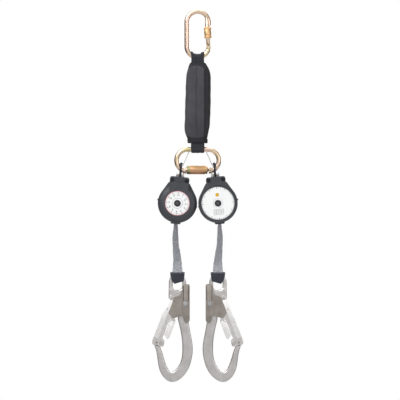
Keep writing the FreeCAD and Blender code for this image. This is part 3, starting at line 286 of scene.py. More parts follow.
class WorldSheet(NodeSheet):
    """The world and the nodes that it is wired from."""

    def __init__(self, name: str) -> None:
        """Makes the world.

        Args:
            name: its name.
        """
        self.world = bpy.data.worlds.new(name)
        self.world.use_nodes = True
        self.tree = self.world.node_tree
        self.tree.nodes.clear()
        self.coords = self.tree.nodes.new("ShaderNodeTexCoord")

    def glow(self, colour: object, strength: float) -> Socket:
        """A background of a colour and strength."""
        node = self.tree.nodes.new("ShaderNodeBackground")
        self.put(node.inputs["Color"], colour)
        self.put(node.inputs["Strength"], strength)
        return node.outputs[0]

    def choose(self, factor: Socket, first: Socket, second: Socket) -> Socket:
        """The first background where the factor is 0, the second where it is 1."""
        node = self.tree.nodes.new("ShaderNodeMixShader")
        for slot, value in zip(node.inputs, (factor, first, second)):
            self.wire(value, slot)
        return node.outputs[0]


def grey(level: float) -> Colour:
    """A neutral colour of a linear level."""
    return (level, level, level)


def tone(code: str) -> Colour:
    """A linear colour from a six-digit screen colour.

    Args:
        code: the red, green and blue in base sixteen.

    Returns:
        The linear colour.
    """
    parts = [int(code[i:i + 2], 16) / 255 for i in (0, 2, 4)]
    linear = [c / 12.92 if c <= 0.04045 else ((c + 0.055) / 1.055) ** 2.4 for c in parts]
    return (linear[0], linear[1], linear[2])


def dim(colour: Colour, share: float) -> Colour:
    """The colour at a share of its strength."""
    return (colour[0] * share, colour[1] * share, colour[2] * share)


@dataclass(frozen=True)
class PlatedFinish:
    """Zinc plate with the rainbow tint of its passivation, on forged steel."""

    name: str
    straw: Colour
    rose: Colour
    olive: Colour
    roughness: float = 0.27

    def make(self) -> bpy.types.Material:
        """Makes the material."""
        sheet = NodeSheet(self.name)
        cloud, fine = sheet.noise(22.0, 1.0), sheet.noise(900.0)
        tint = sheet.ramp(cloud, (0.3, self.olive), (0.45, self.straw), (0.62, self.rose))
        stain = sheet.ramp(fine, (0.3, (0.9, 0.88, 0.86)), (0.6, WHITE))
        wave = sheet.bump(sheet.noise(160.0, 2.0), 0.00002)
        return sheet.finish(sheet.mix(0.5, tint, stain, "MULTIPLY"),
                            sheet.spread(fine, self.roughness - 0.02, self.roughness + 0.05),
                            sheet.bump(fine, 0.000005, wave), Metallic=1.0)


@dataclass(frozen=True)
class CastFinish:
    """Bare forged or pressed metal with a satin skin."""

    name: str
    light: Colour
    dark: Colour
    roughness: float
    grain: float = 700.0
    stretch: tuple[float, float, float] = (1.0, 1.0, 1.0)
    relief: float = 0.00003
    metal: float = 1.0

    def make(self) -> bpy.types.Material:
        """Makes the material."""
        sheet = NodeSheet(self.name)
        fine = sheet.noise(self.grain, 4.0, 0.6, sheet.stretched("Object", self.stretch))
        cloud = sheet.noise(45.0, 2.0)
        base = sheet.ramp(cloud, (0.3, self.dark), (0.62, self.light))
        speck = sheet.ramp(fine, (0.34, grey(0.8)), (0.6, WHITE))
        swell = sheet.bump(cloud, 0.00006)
        return sheet.finish(sheet.mix(0.55, base, speck, "MULTIPLY"),
                            sheet.spread(fine, self.roughness - 0.07, self.roughness + 0.12),
                            sheet.bump(fine, self.relief, swell), Metallic=self.metal)


@dataclass(frozen=True)
class MouldedFinish:
    """Moulded plastic with a fine spark-eroded texture."""

    name: str
    body: Colour
    roughness: float = 0.46
    grain: float = 2600.0

    def make(self) -> bpy.types.Material:
        """Makes the material."""
        sheet = NodeSheet(self.name)
        fine, cloud = sheet.noise(self.grain, 3.0, 0.6), sheet.noise(28.0)
        base = sheet.ramp(cloud, (0.3, dim(self.body, 0.86)), (0.7, dim(self.body, 1.14)))
        speck = sheet.ramp(fine, (0.35, grey(0.82)), (0.65, WHITE))
        return sheet.finish(sheet.mix(0.5, base, speck, "MULTIPLY"),
                            sheet.spread(fine, self.roughness - 0.05, self.roughness + 0.1),
                            sheet.bump(fine, 0.00003), Specular_IOR_Level=0.5)


@dataclass(frozen=True)
class ClothFinish:
    """Plain-woven coated nylon, read from the object's own coordinates."""

    name: str
    body: Colour
    pitch: float = 0.0009
    depth: float = 0.00009
    sheen: float = 0.06

    def tint(self, sheet: NodeSheet) -> object:
        """The cloth's colour.

        Args:
            sheet: the material's nodes.

        Returns:
            The colour or its socket.
        """
        return self.body

    def make(self) -> bpy.types.Material:
        """Makes the material."""
        sheet = NodeSheet(self.name)
        x, y, z = sheet.split()
        turns = FULL_TURN / self.pitch
        across = sheet.maths("ADD", x, y)
        weft = sheet.maths("SINE", sheet.maths("MULTIPLY", across, turns))
        warp = sheet.maths("SINE", sheet.maths("MULTIPLY", z, turns))
        weave = sheet.maths("MULTIPLY_ADD", sheet.maths("MULTIPLY", weft, warp), 0.5, 0.5)
        worn = sheet.ramp(sheet.noise(38.0), (0.32, grey(0.72)), (0.68, WHITE))
        thread = sheet.ramp(weave, (0.1, (0.66, 0.66, 0.68)), (0.8, WHITE))
        base = sheet.mix(1.0, self.tint(sheet), worn, "MULTIPLY")
        crumple = sheet.bump(sheet.noise(120.0), 0.0005)
        return sheet.finish(sheet.mix(0.75, base, thread, "MULTIPLY"),
                            sheet.spread(weave, 0.86, 0.66),
                            sheet.bump(weave, self.depth, crumple),
                            Sheen_Weight=self.sheen, Sheen_Roughness=0.45)


@dataclass(frozen=True)
class PouchFinish(ClothFinish):
    """The pouch's cloth: a broad panel on each face, painted shade on the side past the ridge,
    and darker bound ends.
    """

    gusset: Colour = (0.02, 0.02, 0.02)
    bound: Colour = (0.01, 0.01, 0.01)
    ridge: float = 0.0135
    crown: float = -0.1175
    toe: float = -0.2795

    def tint(self, sheet: NodeSheet) -> object:
        """The colour, which changes along the seams: darker bound ends, and painted shade past
        the ridge, where the same cloth turns from the light.

        Args:
            sheet: the material's nodes.

        Returns:
            The colour's socket.
        """
        x, y, z = sheet.split()
        way = sheet.maths("SIGN", sheet.maths("MULTIPLY", y, -1.0))
        x = sheet.maths("MULTIPLY", x, way)
        bow = sheet.maths("POWER", sheet.maths("ABSOLUTE", sheet.maths("ADD", x, 0.003)), 2.0)
        arch = sheet.maths("SUBTRACT", self.crown, sheet.maths("MULTIPLY", bow, 20.8))
        foot = sheet.maths("ADD", self.toe, sheet.maths("MULTIPLY", bow, 11.0))
        above = sheet.maths("GREATER_THAN", z, arch)
        below = sheet.maths("LESS_THAN", z, foot)
        # Painted shade: past the ridge the cloth gets a darker copy of its own colour, for the
        # side that turns from the light.
        beside = sheet.maths("GREATER_THAN", x, self.ridge)
        panel = sheet.mix(beside, self.body, self.gusset)
        return sheet.mix(sheet.maths("MAXIMUM", above, below), panel, self.bound)


@dataclass(frozen=True)
class WebbingFinish:
    """Narrow woven webbing, read from the strap's own UV map in widths."""

    name: str
    body: Colour
    fleck: Colour
    across: float = 22.0
    along: float = 16.0
    share: float = 0.5
    depth: float = 0.00016

    def make(self) -> bpy.types.Material:
        """Makes the material."""
        sheet = NodeSheet(self.name)
        u, v, _ = sheet.split("UV")
        side = sheet.maths("MULTIPLY", u, FULL_TURN * self.across)
        run = sheet.maths("MULTIPLY", v, FULL_TURN * self.along)
        twill = sheet.maths("SINE", sheet.maths("ADD", run, sheet.maths("MULTIPLY", side, 0.5)))
        cords = sheet.maths("SINE", side)
        weave = sheet.maths("MULTIPLY_ADD", sheet.maths("ADD", twill, cords), 0.25, 0.5)
        mottle = sheet.noise(1.6, 2.0, 0.7,
                             sheet.stretched("UV", (self.across, self.along * 0.8, 1.0)))
        mask = sheet.ramp(mottle, (0.44, grey(0.0)), (0.58, WHITE))
        drift = sheet.noise(60.0, 2.0)
        ground = sheet.ramp(drift, (0.3, dim(self.body, 0.82)), (0.7, dim(self.body, 1.16)))
        yarn = sheet.mix(self.share, ground, sheet.mix(mask, ground, self.fleck))
        shade = sheet.ramp(weave, (0.1, (0.6, 0.6, 0.62)), (0.7, WHITE))
        return sheet.finish(sheet.mix(0.8, yarn, shade, "MULTIPLY"),
                            sheet.spread(weave, 0.9, 0.7), sheet.bump(weave, self.depth),
                            Sheen_Weight=0.2, Sheen_Roughness=0.5)


@dataclass(frozen=True)
class FilmFinish:
    """Printed film or its ink: smooth, a little uneven."""

    name: str
    body: Colour
    roughness: float = 0.34

    def make(self) -> bpy.types.Material:
        """Makes the material."""
        sheet = NodeSheet(self.name)
        cloud, fine = sheet.noise(70.0), sheet.noise(1500.0, 2.0)
        return sheet.finish(sheet.ramp(cloud, (0.3, dim(self.body, 0.95)), (0.7, self.body)),
                            sheet.spread(fine, self.roughness - 0.04, self.roughness + 0.08),
                            sheet.bump(cloud, 0.00006))


FINISHES = {
    "plated_steel": PlatedFinish("plated_steel", tone("efd8ba"), tone("eccfbf"),
                                 tone("d8cb9c")),
    "sleeve_metal": PlatedFinish("sleeve_metal", tone("eec794"), tone("e6ba8a"),
                                 tone("dcc592"), 0.5),
    "twist_metal": PlatedFinish("twist_metal", tone("d3ac80"), tone("d3a488"),
                                tone("cab486"), 0.34),
    "collar_metal": PlatedFinish("collar_metal", tone("bdb688"), tone("a9aa7e"),
                                 tone("cbc198"), 0.36),
    "pin_steel": CastFinish("pin_steel", tone("cac6bf"), tone("a9a49b"), 0.3),
    "bright_steel": CastFinish("bright_steel", tone("d4d4d4"), tone("a9abac"), 0.25),
    "wire_steel": CastFinish("wire_steel", tone("b9b8b2"), tone("8e8c86"), 0.4),
    "forged_aluminium": CastFinish("forged_aluminium", tone("d4d1cf"), tone("c6c3c1"), 0.34,
                                   520.0, (1, 1, 0.4), 0.00005),
    "gate_steel": CastFinish("gate_steel", tone("e4e1df"), tone("d5d2d0"), 0.3, 600.0,
                             (1, 1, 0.2)),
    # Painted highlight: a near-white, half-metal copy of the gate's steel, for the lit web
    # panels and strips of the gate.
    "painted_highlight_steel": CastFinish("painted_highlight_steel", tone("f6f4f2"), tone("efecea"), 0.34, 600.0,
                              (1, 1, 0.2), metal=0.45),
    "lever_steel": CastFinish("lever_steel", tone("aca49d"), tone("9a928b"), 0.36, 600.0,
                              (1, 1, 0.25)),
    "drum_aluminium": CastFinish("drum_aluminium", tone("c9cacc"), tone("a4a6a9"), 0.32),
    "dark_screw": CastFinish("dark_screw", tone("3a3b3e"), tone("232427"), 0.34),
    "housing_plastic": MouldedFinish("housing_plastic", tone("3c3e43")),
    "guide_plastic": MouldedFinish("guide_plastic", tone("3a3b3f"), 0.4),
    "cap_plastic": MouldedFinish("cap_plastic", tone("2b2c2f"), 0.38),
    "bolt_steel": CastFinish("bolt_steel", tone("77787b"), tone("55565a"), 0.42),
    # The pouch's shaded side is painted shade: the same cloth, given a darker colour.
    "cover_fabric": PouchFinish("cover_fabric", tone("46464b"), gusset=tone("2f2f34"),
                                bound=tone("212126")),
    "hem_fabric": ClothFinish("hem_fabric", tone("222227")),
    "black_webbing": WebbingFinish("black_webbing", tone("1e1f25"), tone("34353b"), 12.0, 9.0,
                                   0.35),
    "loop_webbing": WebbingFinish("loop_webbing", tone("26272b"), tone("38393e"), 4.0, 4.0,
                                  0.3),
    "pad_fabric": WebbingFinish("pad_fabric", tone("2b2d38"), tone("42454f"), 14.0, 10.0, 0.3),
    "grey_webbing": WebbingFinish("grey_webbing", tone("797a81"), tone("d2d3d8"), 8.0, 5.0,
                                  0.95),
    "black_thread": FilmFinish("black_thread", tone("1b1b1e"), 0.6),
    "pale_thread": FilmFinish("pale_thread", tone("a9abb3"), 0.6),
    "label_film": FilmFinish("label_film", tone("fbfbfa")),
    "grey_ink": FilmFinish("grey_ink", tone("6d7076"), 0.4),
    "dark_ink": FilmFinish("dark_ink", tone("2b2c2f"), 0.4),
    "red_ink": FilmFinish("red_ink", tone("cf4b5c"), 0.4),
    "yellow_ink": FilmFinish("yellow_ink", tone("d9ad1c"), 0.4),
}


class Palette:
    """Makes each finish's material once."""

    def __init__(self) -> None:
        """Starts with nothing made."""
        self.made: dict[str, bpy.types.Material] = {}

    def get(self, name: str) -> bpy.types.Material:
        """The material of a finish.

        Args:
            name: the finish's name.

        Returns:
            The material.
        """
        if name not in self.made:
            self.made[name] = FINISHES[name].make()
        return self.made[name]


PALETTE = Palette()


# --------------------------------------------------------------------------
# Meshes
# --------------------------------------------------------------------------


def linked(name: str, data: object) -> bpy.types.Object:
    """Puts a new object in the scene.

    Args:
        name: its name.
        data: its mesh, text, lamp or camera.

    Returns:
        The object.
    """
    made = bpy.data.objects.new(name, data)
    bpy.context.scene.collection.objects.link(made)
    return made


def dress(mesh: bpy.types.Mesh, finish: str) -> None:
    """Gives a mesh one finish."""
    mesh.materials.clear()
    mesh.materials.append(PALETTE.get(finish))


def new_object(name: str, mesh: bpy.types.Mesh, finish: str) -> bpy.types.Object:
    """Puts a mesh in the scene with one finish.

    Args:
        name: the piece's name.
        mesh: its mesh, where it belongs.
        finish: the finish's name.

    Returns:
        The object, at the origin.
    """
    dress(mesh, finish)
    return linked(name, mesh)


def smooth(mesh: bpy.types.Mesh, angle: float = 32.0) -> None:
    """Shades a mesh smooth, with its sharper edges kept.

    Args:
        mesh: the mesh.
        angle: the smallest sharp angle in degrees.
    """
    mesh.shade_smooth()
    mesh.set_sharp_from_angle(angle=math.radians(angle))


def final_mesh(piece: bpy.types.Object) -> bpy.types.Mesh:
    """A new mesh of what an object's modifiers or text make of it."""
    graph = bpy.context.evaluated_depsgraph_get()
    return bpy.data.meshes.new_from_object(piece.evaluated_get(graph), depsgraph=graph)


def thickened(piece: bpy.types.Object, thick: float, offset: float = 0.0) -> None:
    """Gives a skin a thickness.

    Args:
        piece: the object.
        thick: the thickness in millimetres.
        offset: -1 to thicken it inwards, 0 to both sides.
    """
    wall = piece.modifiers.new("wall", "SOLIDIFY")
    wall.thickness = thick * MM
    wall.offset = offset


def subdivided(piece: bpy.types.Object) -> None:
    """Divides and rounds a piece's faces once."""
    fine = piece.modifiers.new("fine", "SUBSURF")
    fine.levels = fine.render_levels = 1


def baked(piece: bpy.types.Object) -> bpy.types.Object:
    """Applies a piece's modifiers.

    Args:
        piece: the object.

    Returns:
        The same object, with its final mesh and no modifiers.
    """
    bpy.context.view_layer.update()
    mesh = final_mesh(piece)
    piece.modifiers.clear()
    piece.data = mesh
    return piece


def from_bmesh(name: str, source: bmesh.types.BMesh, finish: str,
               place: Optional[Matrix] = None, angle: float = 32.0) -> bpy.types.Object:
    """Makes a piece from a bmesh, with its normals outward.

    Args:
        name: the piece's name.
        source: the bmesh, freed here.
        finish: the finish's name.
        place: where the mesh goes.
        angle: the smallest sharp angle in degrees.

    Returns:
        The object.
    """
    bmesh.ops.recalc_face_normals(source, faces=source.faces)
    mesh = bpy.data.meshes.new(name)
    source.to_mesh(mesh)
    source.free()
    if place is not None:
        mesh.transform(place)
    smooth(mesh, angle)
    return new_object(name, mesh, finish)


@dataclass(frozen=True)
class Rounding:
    """How the edges of a copied CAD node are rounded."""

    width: float
    segments: int = 2
    angle: float = 32.0
    clamped: bool = True


def rounded(source: bmesh.types.BMesh, rounding: Rounding) -> None:
    """Rounds the sharp edges of a mesh.

    Args:
        source: the bmesh, changed here.
        rounding: the rounding's width, faces and angle.
    """
    limit = math.radians(rounding.angle)
    edges = [edge for edge in source.edges
             if len(edge.link_faces) == 2 and edge.calc_face_angle(0.0) > limit]
    if edges:
        bmesh.ops.bevel(source, geom=edges, offset=rounding.width,
                        segments=rounding.segments, affect="EDGES", profile=0.5,
                        clamp_overlap=rounding.clamped)


def node_mesh(node: str) -> bmesh.types.BMesh:
    """A copy of a CAD node's mesh, with its doubled points merged."""
    work = bmesh.new()
    work.from_mesh(frame["nodes"][node].data)
    bmesh.ops.remove_doubles(work, verts=work.verts, dist=CAD_WELD)
    return work


def refined(node: str, finish: str, rounding: Optional[Rounding] = None,
            angle: float = 32.0) -> bpy.types.Object:
    """A rounded, smooth copy of a CAD node.

    Args:
        node: the CAD node's name.
        finish: the finish's name.
        rounding: how its edges are rounded.
        angle: the smallest angle in degrees that stays sharp to the eye.

    Returns:
        The object.
    """
    work = node_mesh(node)
    if rounding:
        bmesh.ops.dissolve_limit(work, angle_limit=math.radians(1.0), verts=work.verts,
                                 edges=work.edges)
        rounded(work, rounding)
    bmesh.ops.triangulate(work, faces=[f for f in work.faces if len(f.verts) > RIM_CORNERS])
    mesh = bpy.data.meshes.new(f"{node}_piece")
    work.to_mesh(mesh)
    work.free()
    smooth(mesh, angle)
    piece = new_object(f"{node}_piece", mesh, finish)
    if rounding:
        level = piece.modifiers.new("level", "WEIGHTED_NORMAL")
        level.keep_sharp = True
        level.weight = 80
        baked(piece)
    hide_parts(node)
    return piece


def forged(node: str, finish: str, cell: float, rounds: int, more: int,
           above: float) -> bpy.types.Object:
    """A copy of a CAD node with the soft edges of a forging.

    Args:
        node: the CAD node's name.
        finish: the finish's name.
        cell: the size of its facets in metres.
        rounds: how often each point is drawn to its neighbours.
        more: how much more often that is done over a height.
        above: that height in metres.

    Returns:
        The object.
    """
    work = node_mesh(node)
    piece = from_bmesh(f"{node}_piece", work, finish)
    grid = piece.modifiers.new("grid", "REMESH")
    grid.mode = "VOXEL"
    grid.voxel_size = cell
    baked(piece)
    soft = bmesh.new()
    soft.from_mesh(piece.data)
    upper = [v for v in soft.verts if v.co.z > above]
    for turn in range(rounds + more):
        bmesh.ops.smooth_vert(soft, verts=soft.verts if turn < rounds else upper, factor=0.5,
                              use_axis_x=True, use_axis_y=True, use_axis_z=True)
    soft.to_mesh(piece.data)
    soft.free()
    piece.data.shade_smooth()
    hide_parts(node)
    return piece


def settle(piece: bpy.types.Object, body: str, slot: str,
           *nodes: str) -> bpy.types.Object:
    """Puts a finished piece on its body.

    Args:
        piece: the object.
        body: the CAD body that it rides on.
        slot: the record's material slot; not used.
        nodes: the CAD nodes that it stands for.

    Returns:
        The object.
    """
    if nodes:
        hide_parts(*nodes)
    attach(piece, body)
    LOG.info("%s rides on %s with %d faces", piece.name, body, len(piece.data.polygons))
    return piece


def paint(node: str, finish: str) -> None:
    """Gives a CAD node that stays its finish.

    Args:
        node: the CAD node's name.
        finish: the finish's name.
    """
    dress(frame["nodes"][node].data, finish)
    LOG.info("%s stays, with %s", node, finish)


def patch(work: bmesh.types.BMesh, sheet: object, corners: Sequence[bmesh.types.BMVert],
          across: tuple[float, float], run: tuple[float, float]) -> None:
    """A face with four corners, unrolled on the UV sheet.

    Args:
        work: the bmesh.
        sheet: its UV layer.
        corners: the face's points, the first two along U.
        across: its two values of U.
        run: its two values of V.
    """
    spots = [(across[0], run[0]), (across[1], run[0]), (across[1], run[1]),
             (across[0], run[1])]
    for loop, spot in zip(work.faces.new(corners).loops, spots):
        loop[sheet].uv = spot


def loft(rings: Sequence[Sequence[Vector]], closed_ends: bool = True,
         width: float = 1.0) -> bmesh.types.BMesh:
    """A tube through rings that all have the same number of points.

    Args:
        rings: the rings, each closed.
        closed_ends: whether the first and last are filled.
        width: for a strap, the width in metres that one turn of UV stands for.

    Returns:
        The bmesh.
    """
    work = bmesh.new()
    rows = [[work.verts.new(point) for point in ring] for ring in rings]
    count = len(rows[0])
    sheet = work.loops.layers.uv.new("UVMap")
    run = 0.0
    for low, high, ring_a, ring_b in zip(rows, rows[1:], rings, rings[1:]):
        middle_a = sum(ring_a, Vector()) / count
        middle_b = sum(ring_b, Vector()) / count
        length = (middle_b - middle_a).length / width
        for i in range(count):
            j = (i + 1) % count
            half = count / 2
            patch(work, sheet, (low[i], low[j], high[j], high[i]),
                  ((i % half) / half, (i % half + 1) / half), (run, run + length))
        run += length
    if closed_ends:
        for row in (rows[0][::-1], rows[-1]):
            work.faces.new(row)
    return work


def strap_ring(middle: Vector, across: Vector, out: Vector, width: float,
               thick: float, crown: float = 0.0, steps: int = 10) -> list[Vector]:
    """One section of a strap, with rounded selvedges.

    Args:
        middle: its centre.
        across: the unit direction of its width.
        out: the unit direction of its thickness.
        width: the width in metres.
        thick: the thickness in metres.
        crown: how far the middle stands proud in metres.
        steps: how many faces each side has.

    Returns:
        The ring's points.
    """
    ring = []
    for side in (1, -1):
        for i in range(steps):
            share = i / steps * 2 - 1
            edge = 1 - abs(share) ** 8 * 0.72
            lift = thick / 2 * edge + crown * (1 - share * share)
            ring.append(middle + across * (share * side * width / 2) + out * (side * lift))
    return ring


def strap(name: str, path: Sequence[Vector], across: Sequence[Vector], width: Sequence[float],
          thick: float, finish: str, crown: float = 0.0) -> bpy.types.Object:
    """A strap that follows a path.

    Args:
        name: the piece's name.
        path: its centre line.
        across: the unit direction of its width at each point.
        width: its width at each point in metres.
        thick: its thickness in metres.
        finish: the finish's name.
        crown: how far its middle stands proud.

    Returns:
        The object.
    """
    rings = []
    for i, middle in enumerate(path):
        before, after = path[max(i - 1, 0)], path[min(i + 1, len(path) - 1)]
        run = (after - before).normalized()
        out = run.cross(across[i]).normalized()
        rings.append(strap_ring(middle, across[i], out, width[i], thick, crown))
    return from_bmesh(name, loft(rings, True, width[0]), finish, angle=50)


def lathe(profile: Sequence[tuple[float, float]], steps: int = 64) -> bmesh.types.BMesh:
    """A turned solid about the Z axis.

    Args:
        profile: radius and height in millimetres, from one end of the axis to the other.
        steps: how many faces go round.

    Returns:
        The bmesh.
    """
    work = bmesh.new()
    rows = []
    for radius, height in ((r * MM, z * MM) for r, z in profile):
        if radius < SAME_POINT:
            rows.append([work.verts.new((0, 0, height))])
            continue
        turns = [FULL_TURN * i / steps for i in range(steps)]
        rows.append([work.verts.new((radius * math.cos(turn), radius * math.sin(turn), height))
                     for turn in turns])
    for low, high in zip(rows, rows[1:]):
        for i in range(steps):
            j = (i + 1) % steps
            a, b = low[i % len(low)], low[j % len(low)]
            c, d = high[j % len(high)], high[i % len(high)]
            corners = list(dict.fromkeys((a, b, c, d)))
            if len(corners) > 2:
                work.faces.new(corners)
    for row in (rows[0], rows[-1]):
        if len(row) > 1:
            work.faces.new(row)
    return work


def hollow(profile: Sequence[tuple[float, float]], steps: int = 64) -> bmesh.types.BMesh:
    """A turned ring or sleeve, open along the Z axis.

    Args:
        profile: radius and height in millimetres, once round the section.
        steps: how many faces go round.

    Returns:
        The bmesh.
    """
    work = lathe(profile, steps)
    ends = [face for face in work.faces if len(face.verts) > RIM_CORNERS]
    bmesh.ops.delete(work, geom=ends, context="FACES_ONLY")
    if profile[0] == profile[-1]:
        bmesh.ops.remove_doubles(work, verts=work.verts, dist=SAME_POINT)
    else:
        bmesh.ops.bridge_loops(work, edges=[edge for edge in work.edges if edge.is_boundary])
    return work


def rounded_block(size: Vector, bevel: float, segments: int = 2) -> bmesh.types.BMesh:
    """A block with rounded edges, centred on the origin.

    Args:
        size: its three lengths.
        bevel: the rounding's width.
        segments: the rounding's faces.

    Returns:
        The bmesh.
    """
    work = bmesh.new()
    bmesh.ops.create_cube(work, size=1.0)
    bmesh.ops.scale(work, vec=size, verts=work.verts)
    bmesh.ops.bevel(work, geom=work.edges[:], offset=bevel, segments=segments,
                    affect="EDGES", profile=0.5)
    return work


def plate(outline: Sequence[tuple[float, float]], low: float, high: float,
          bevel: float) -> bmesh.types.BMesh:
    """A flat plate with rounded edges, upright in the X and Z directions.

    Args:
        outline: its corners' X and Z in millimetres.
        low: the Y of one face in millimetres.
        high: the Y of the other face in millimetres.
        bevel: the edges' rounding in millimetres.

    Returns:
        The bmesh.
    """
    work = bmesh.new()
    rows = [[work.verts.new(mm(x, y, z)) for x, z in outline] for y in (low, high)]
    for i in range(len(outline)):
        work.faces.new((rows[0][i - 1], rows[0][i], rows[1][i], rows[1][i - 1]))
    for row in rows:
        work.faces.new(row)
    bmesh.ops.recalc_face_normals(work, faces=work.faces)
    bmesh.ops.bevel(work, geom=work.edges[:], offset=bevel * MM, segments=3,
                    affect="EDGES", profile=0.5, clamp_overlap=True)
    return work


def joined(name: str, parts: Sequence[bpy.types.Object]) -> bpy.types.Object:
    """Joins pieces into one, which keeps each one's material.

    Args:
        name: the joined piece's name.
        parts: the pieces, which go.

    Returns:
        The object.
    """
    work = bmesh.new()
    materials: list[bpy.types.Material] = []
    for part in parts:
        first = len(work.faces)
        work.from_mesh(part.data)
        work.faces.ensure_lookup_table()
        own = part.data.materials[0]
        if own not in materials:
            materials.append(own)
        for face in work.faces[first:]:
            face.material_index = materials.index(own)
    mesh = bpy.data.meshes.new(name)
    work.to_mesh(mesh)
    work.free()
    for material in materials:
        mesh.materials.append(material)
    for part in parts:
        bpy.data.objects.remove(part)
    return linked(name, mesh)


# --------------------------------------------------------------------------
# Geometry Nodes: what repeats round a ring or along a seam
# --------------------------------------------------------------------------


class NodeTree:
    """A Geometry Nodes tree that repeats the mesh of the object that it is put on."""

    def __init__(self, name: str, **values: str) -> None:
        """Makes a tree with the element, named values and a finish as its inputs.

        Args:
            name: the tree's name.
            values: each value's name and socket type.
        """
        self.group = bpy.data.node_groups.new(name, "GeometryNodeTree")
        face = self.group.interface
        face.new_socket("Result", in_out="OUTPUT", socket_type="NodeSocketGeometry")
        kinds = {"Element": "NodeSocketGeometry", **values, "Finish": "NodeSocketMaterial"}
        self.keys = {key: face.new_socket(key, in_out="INPUT", socket_type=kind).identifier
                     for key, kind in kinds.items()}
        self.given = self.node("NodeGroupInput").outputs

    def node(self, kind: str, **settings: object) -> bpy.types.Node:
        """Adds a node.

        Args:
            kind: the node's type.
            settings: its properties.

        Returns:
            The node.
        """
        made = self.group.nodes.new(kind)
        for key, setting in settings.items():
            setattr(made, key, setting)
        return made

    def wire(self, source: Socket, target: Socket) -> None:
        """Links one socket to another."""
        self.group.links.new(source, target)

    def close(self, points: Socket, rotation: Socket) -> None:
        """Puts the element on the points, makes it real and gives it its finish.

        Args:
            points: the points.
            rotation: how the element is turned on each.
        """
        put = self.node("GeometryNodeInstanceOnPoints")
        real = self.node("GeometryNodeRealizeInstances")
        dressed = self.node("GeometryNodeSetMaterial")
        out = self.node("NodeGroupOutput")
        self.wire(points, put.inputs["Points"])
        self.wire(self.given["Element"], put.inputs["Instance"])
        self.wire(rotation, put.inputs["Rotation"])
        self.wire(put.outputs["Instances"], real.inputs["Geometry"])
        self.wire(real.outputs["Geometry"], dressed.inputs["Geometry"])
        self.wire(self.given["Finish"], dressed.inputs["Material"])
        self.wire(dressed.outputs["Geometry"], out.inputs["Result"])

    def run(self, name: str, element: bmesh.types.BMesh, finish: str,
            values: dict[str, object], place: Optional[Matrix] = None,
            angle: float = 40.0) -> bpy.types.Object:
        """Repeats an element and makes the result a plain mesh.

        Args:
            name: the piece's name.
            element: the mesh that is repeated, freed here.
            finish: the finish's name.
            values: the tree's named inputs.
            place: where the result goes.
            angle: the smallest sharp angle in degrees.

        Returns:
            The object.
        """
        piece = from_bmesh(name, element, finish)
        maker = piece.modifiers.new("repeat", "NODES")
        maker.node_group = self.group
        for key, setting in values.items():
            maker[self.keys[key]] = setting
        maker[self.keys["Finish"]] = PALETTE.get(finish)
        baked(piece)
        if place is not None:
            piece.data.transform(place)
        smooth(piece.data, angle)
        return piece


class RingTree(NodeTree):
    """Repeats an element evenly round the Z axis, with its X side outwards."""

    def __init__(self) -> None:
        """Builds the tree."""
        super().__init__("round_a_ring", Count="NodeSocketInt", Radius="NodeSocketFloat")
        ring = self.node("GeometryNodeMeshCircle")
        points = self.node("GeometryNodeMeshToPoints")
        where = self.node("GeometryNodeInputPosition")
        turn = self.node("FunctionNodeAlignRotationToVector", axis="X", pivot_axis="Z")
        self.wire(self.given["Count"], ring.inputs["Vertices"])
        self.wire(self.given["Radius"], ring.inputs["Radius"])
        self.wire(ring.outputs["Mesh"], points.inputs["Mesh"])
        self.wire(where.outputs["Position"], turn.inputs["Vector"])
        self.close(points.outputs["Points"], turn.outputs["Rotation"])


class SeamTree(NodeTree):
    """Repeats an element along a line, with its Z side along it."""

    def __init__(self) -> None:
        """Builds the tree."""
        super().__init__("along_a_seam", Seam="NodeSocketObject", Pitch="NodeSocketFloat")
        source = self.node("GeometryNodeObjectInfo", transform_space="RELATIVE")
        line = self.node("GeometryNodeMeshToCurve")
        points = self.node("GeometryNodeCurveToPoints", mode="LENGTH")
        self.wire(self.given["Seam"], source.inputs["Object"])
        self.wire(source.outputs["Geometry"], line.inputs["Mesh"])
        self.wire(line.outputs["Curve"], points.inputs["Curve"])
        self.wire(self.given["Pitch"], points.inputs["Length"])
        self.close(points.outputs["Points"], points.outputs["Rotation"])

    def follow(self, name: str, element: bmesh.types.BMesh, finish: str,
               lines: Sequence[Sequence[Vector]], pitch: float,
               place: Optional[Matrix] = None) -> bpy.types.Object:
        """Repeats an element along lines.

        Args:
            name: the piece's name.
            element: the mesh that is repeated, with Z along the line.
            finish: the finish's name.
            lines: the lines, each a list of points.
            pitch: the distance from one to the next in metres.
            place: where the result goes.

        Returns:
            The object.
        """
        mesh = bpy.data.meshes.new(f"{name}_line")
        points, edges = [], []
        for line in lines:
            first = len(points)
            points += [tuple(point) for point in line]
            edges += [(first + i, first + i + 1) for i in range(len(line) - 1)]
        mesh.from_pydata(points, edges, [])
        guide = linked(f"{name}_line", mesh)
        piece = self.run(name, element, finish, {"Seam": guide, "Pitch": pitch}, place)
        bpy.data.objects.remove(guide)
        return piece


RING = RingTree()
SEAM = SeamTree()


def stitch(length: float, width: float) -> bmesh.types.BMesh:
    """One stitch of thread, along Z.

    Args:
        length: its length in metres.
        width: its width in metres.

    Returns:
        The bmesh.
    """
    work = bmesh.new()
    bmesh.ops.create_cone(work, segments=6, radius1=width / 2, radius2=width / 2,
                          depth=length * 0.6, cap_ends=True, cap_tris=False)
    for end in (-1, 1):
        tip = work.verts.new((0, 0, end * length / 2))
        rim = [v for v in work.verts if v is not tip and v.co.z * end > length * 0.29]
        cap = [f for f in work.faces if all(v in rim for v in f.verts)]
        bmesh.ops.delete(work, geom=cap, context="FACES_ONLY")
        rim.sort(key=lambda v: math.atan2(v.co.y, v.co.x))
        for a, b in zip(rim, rim[1:] + rim[:1]):
            work.faces.new((a, b, tip))
    return work


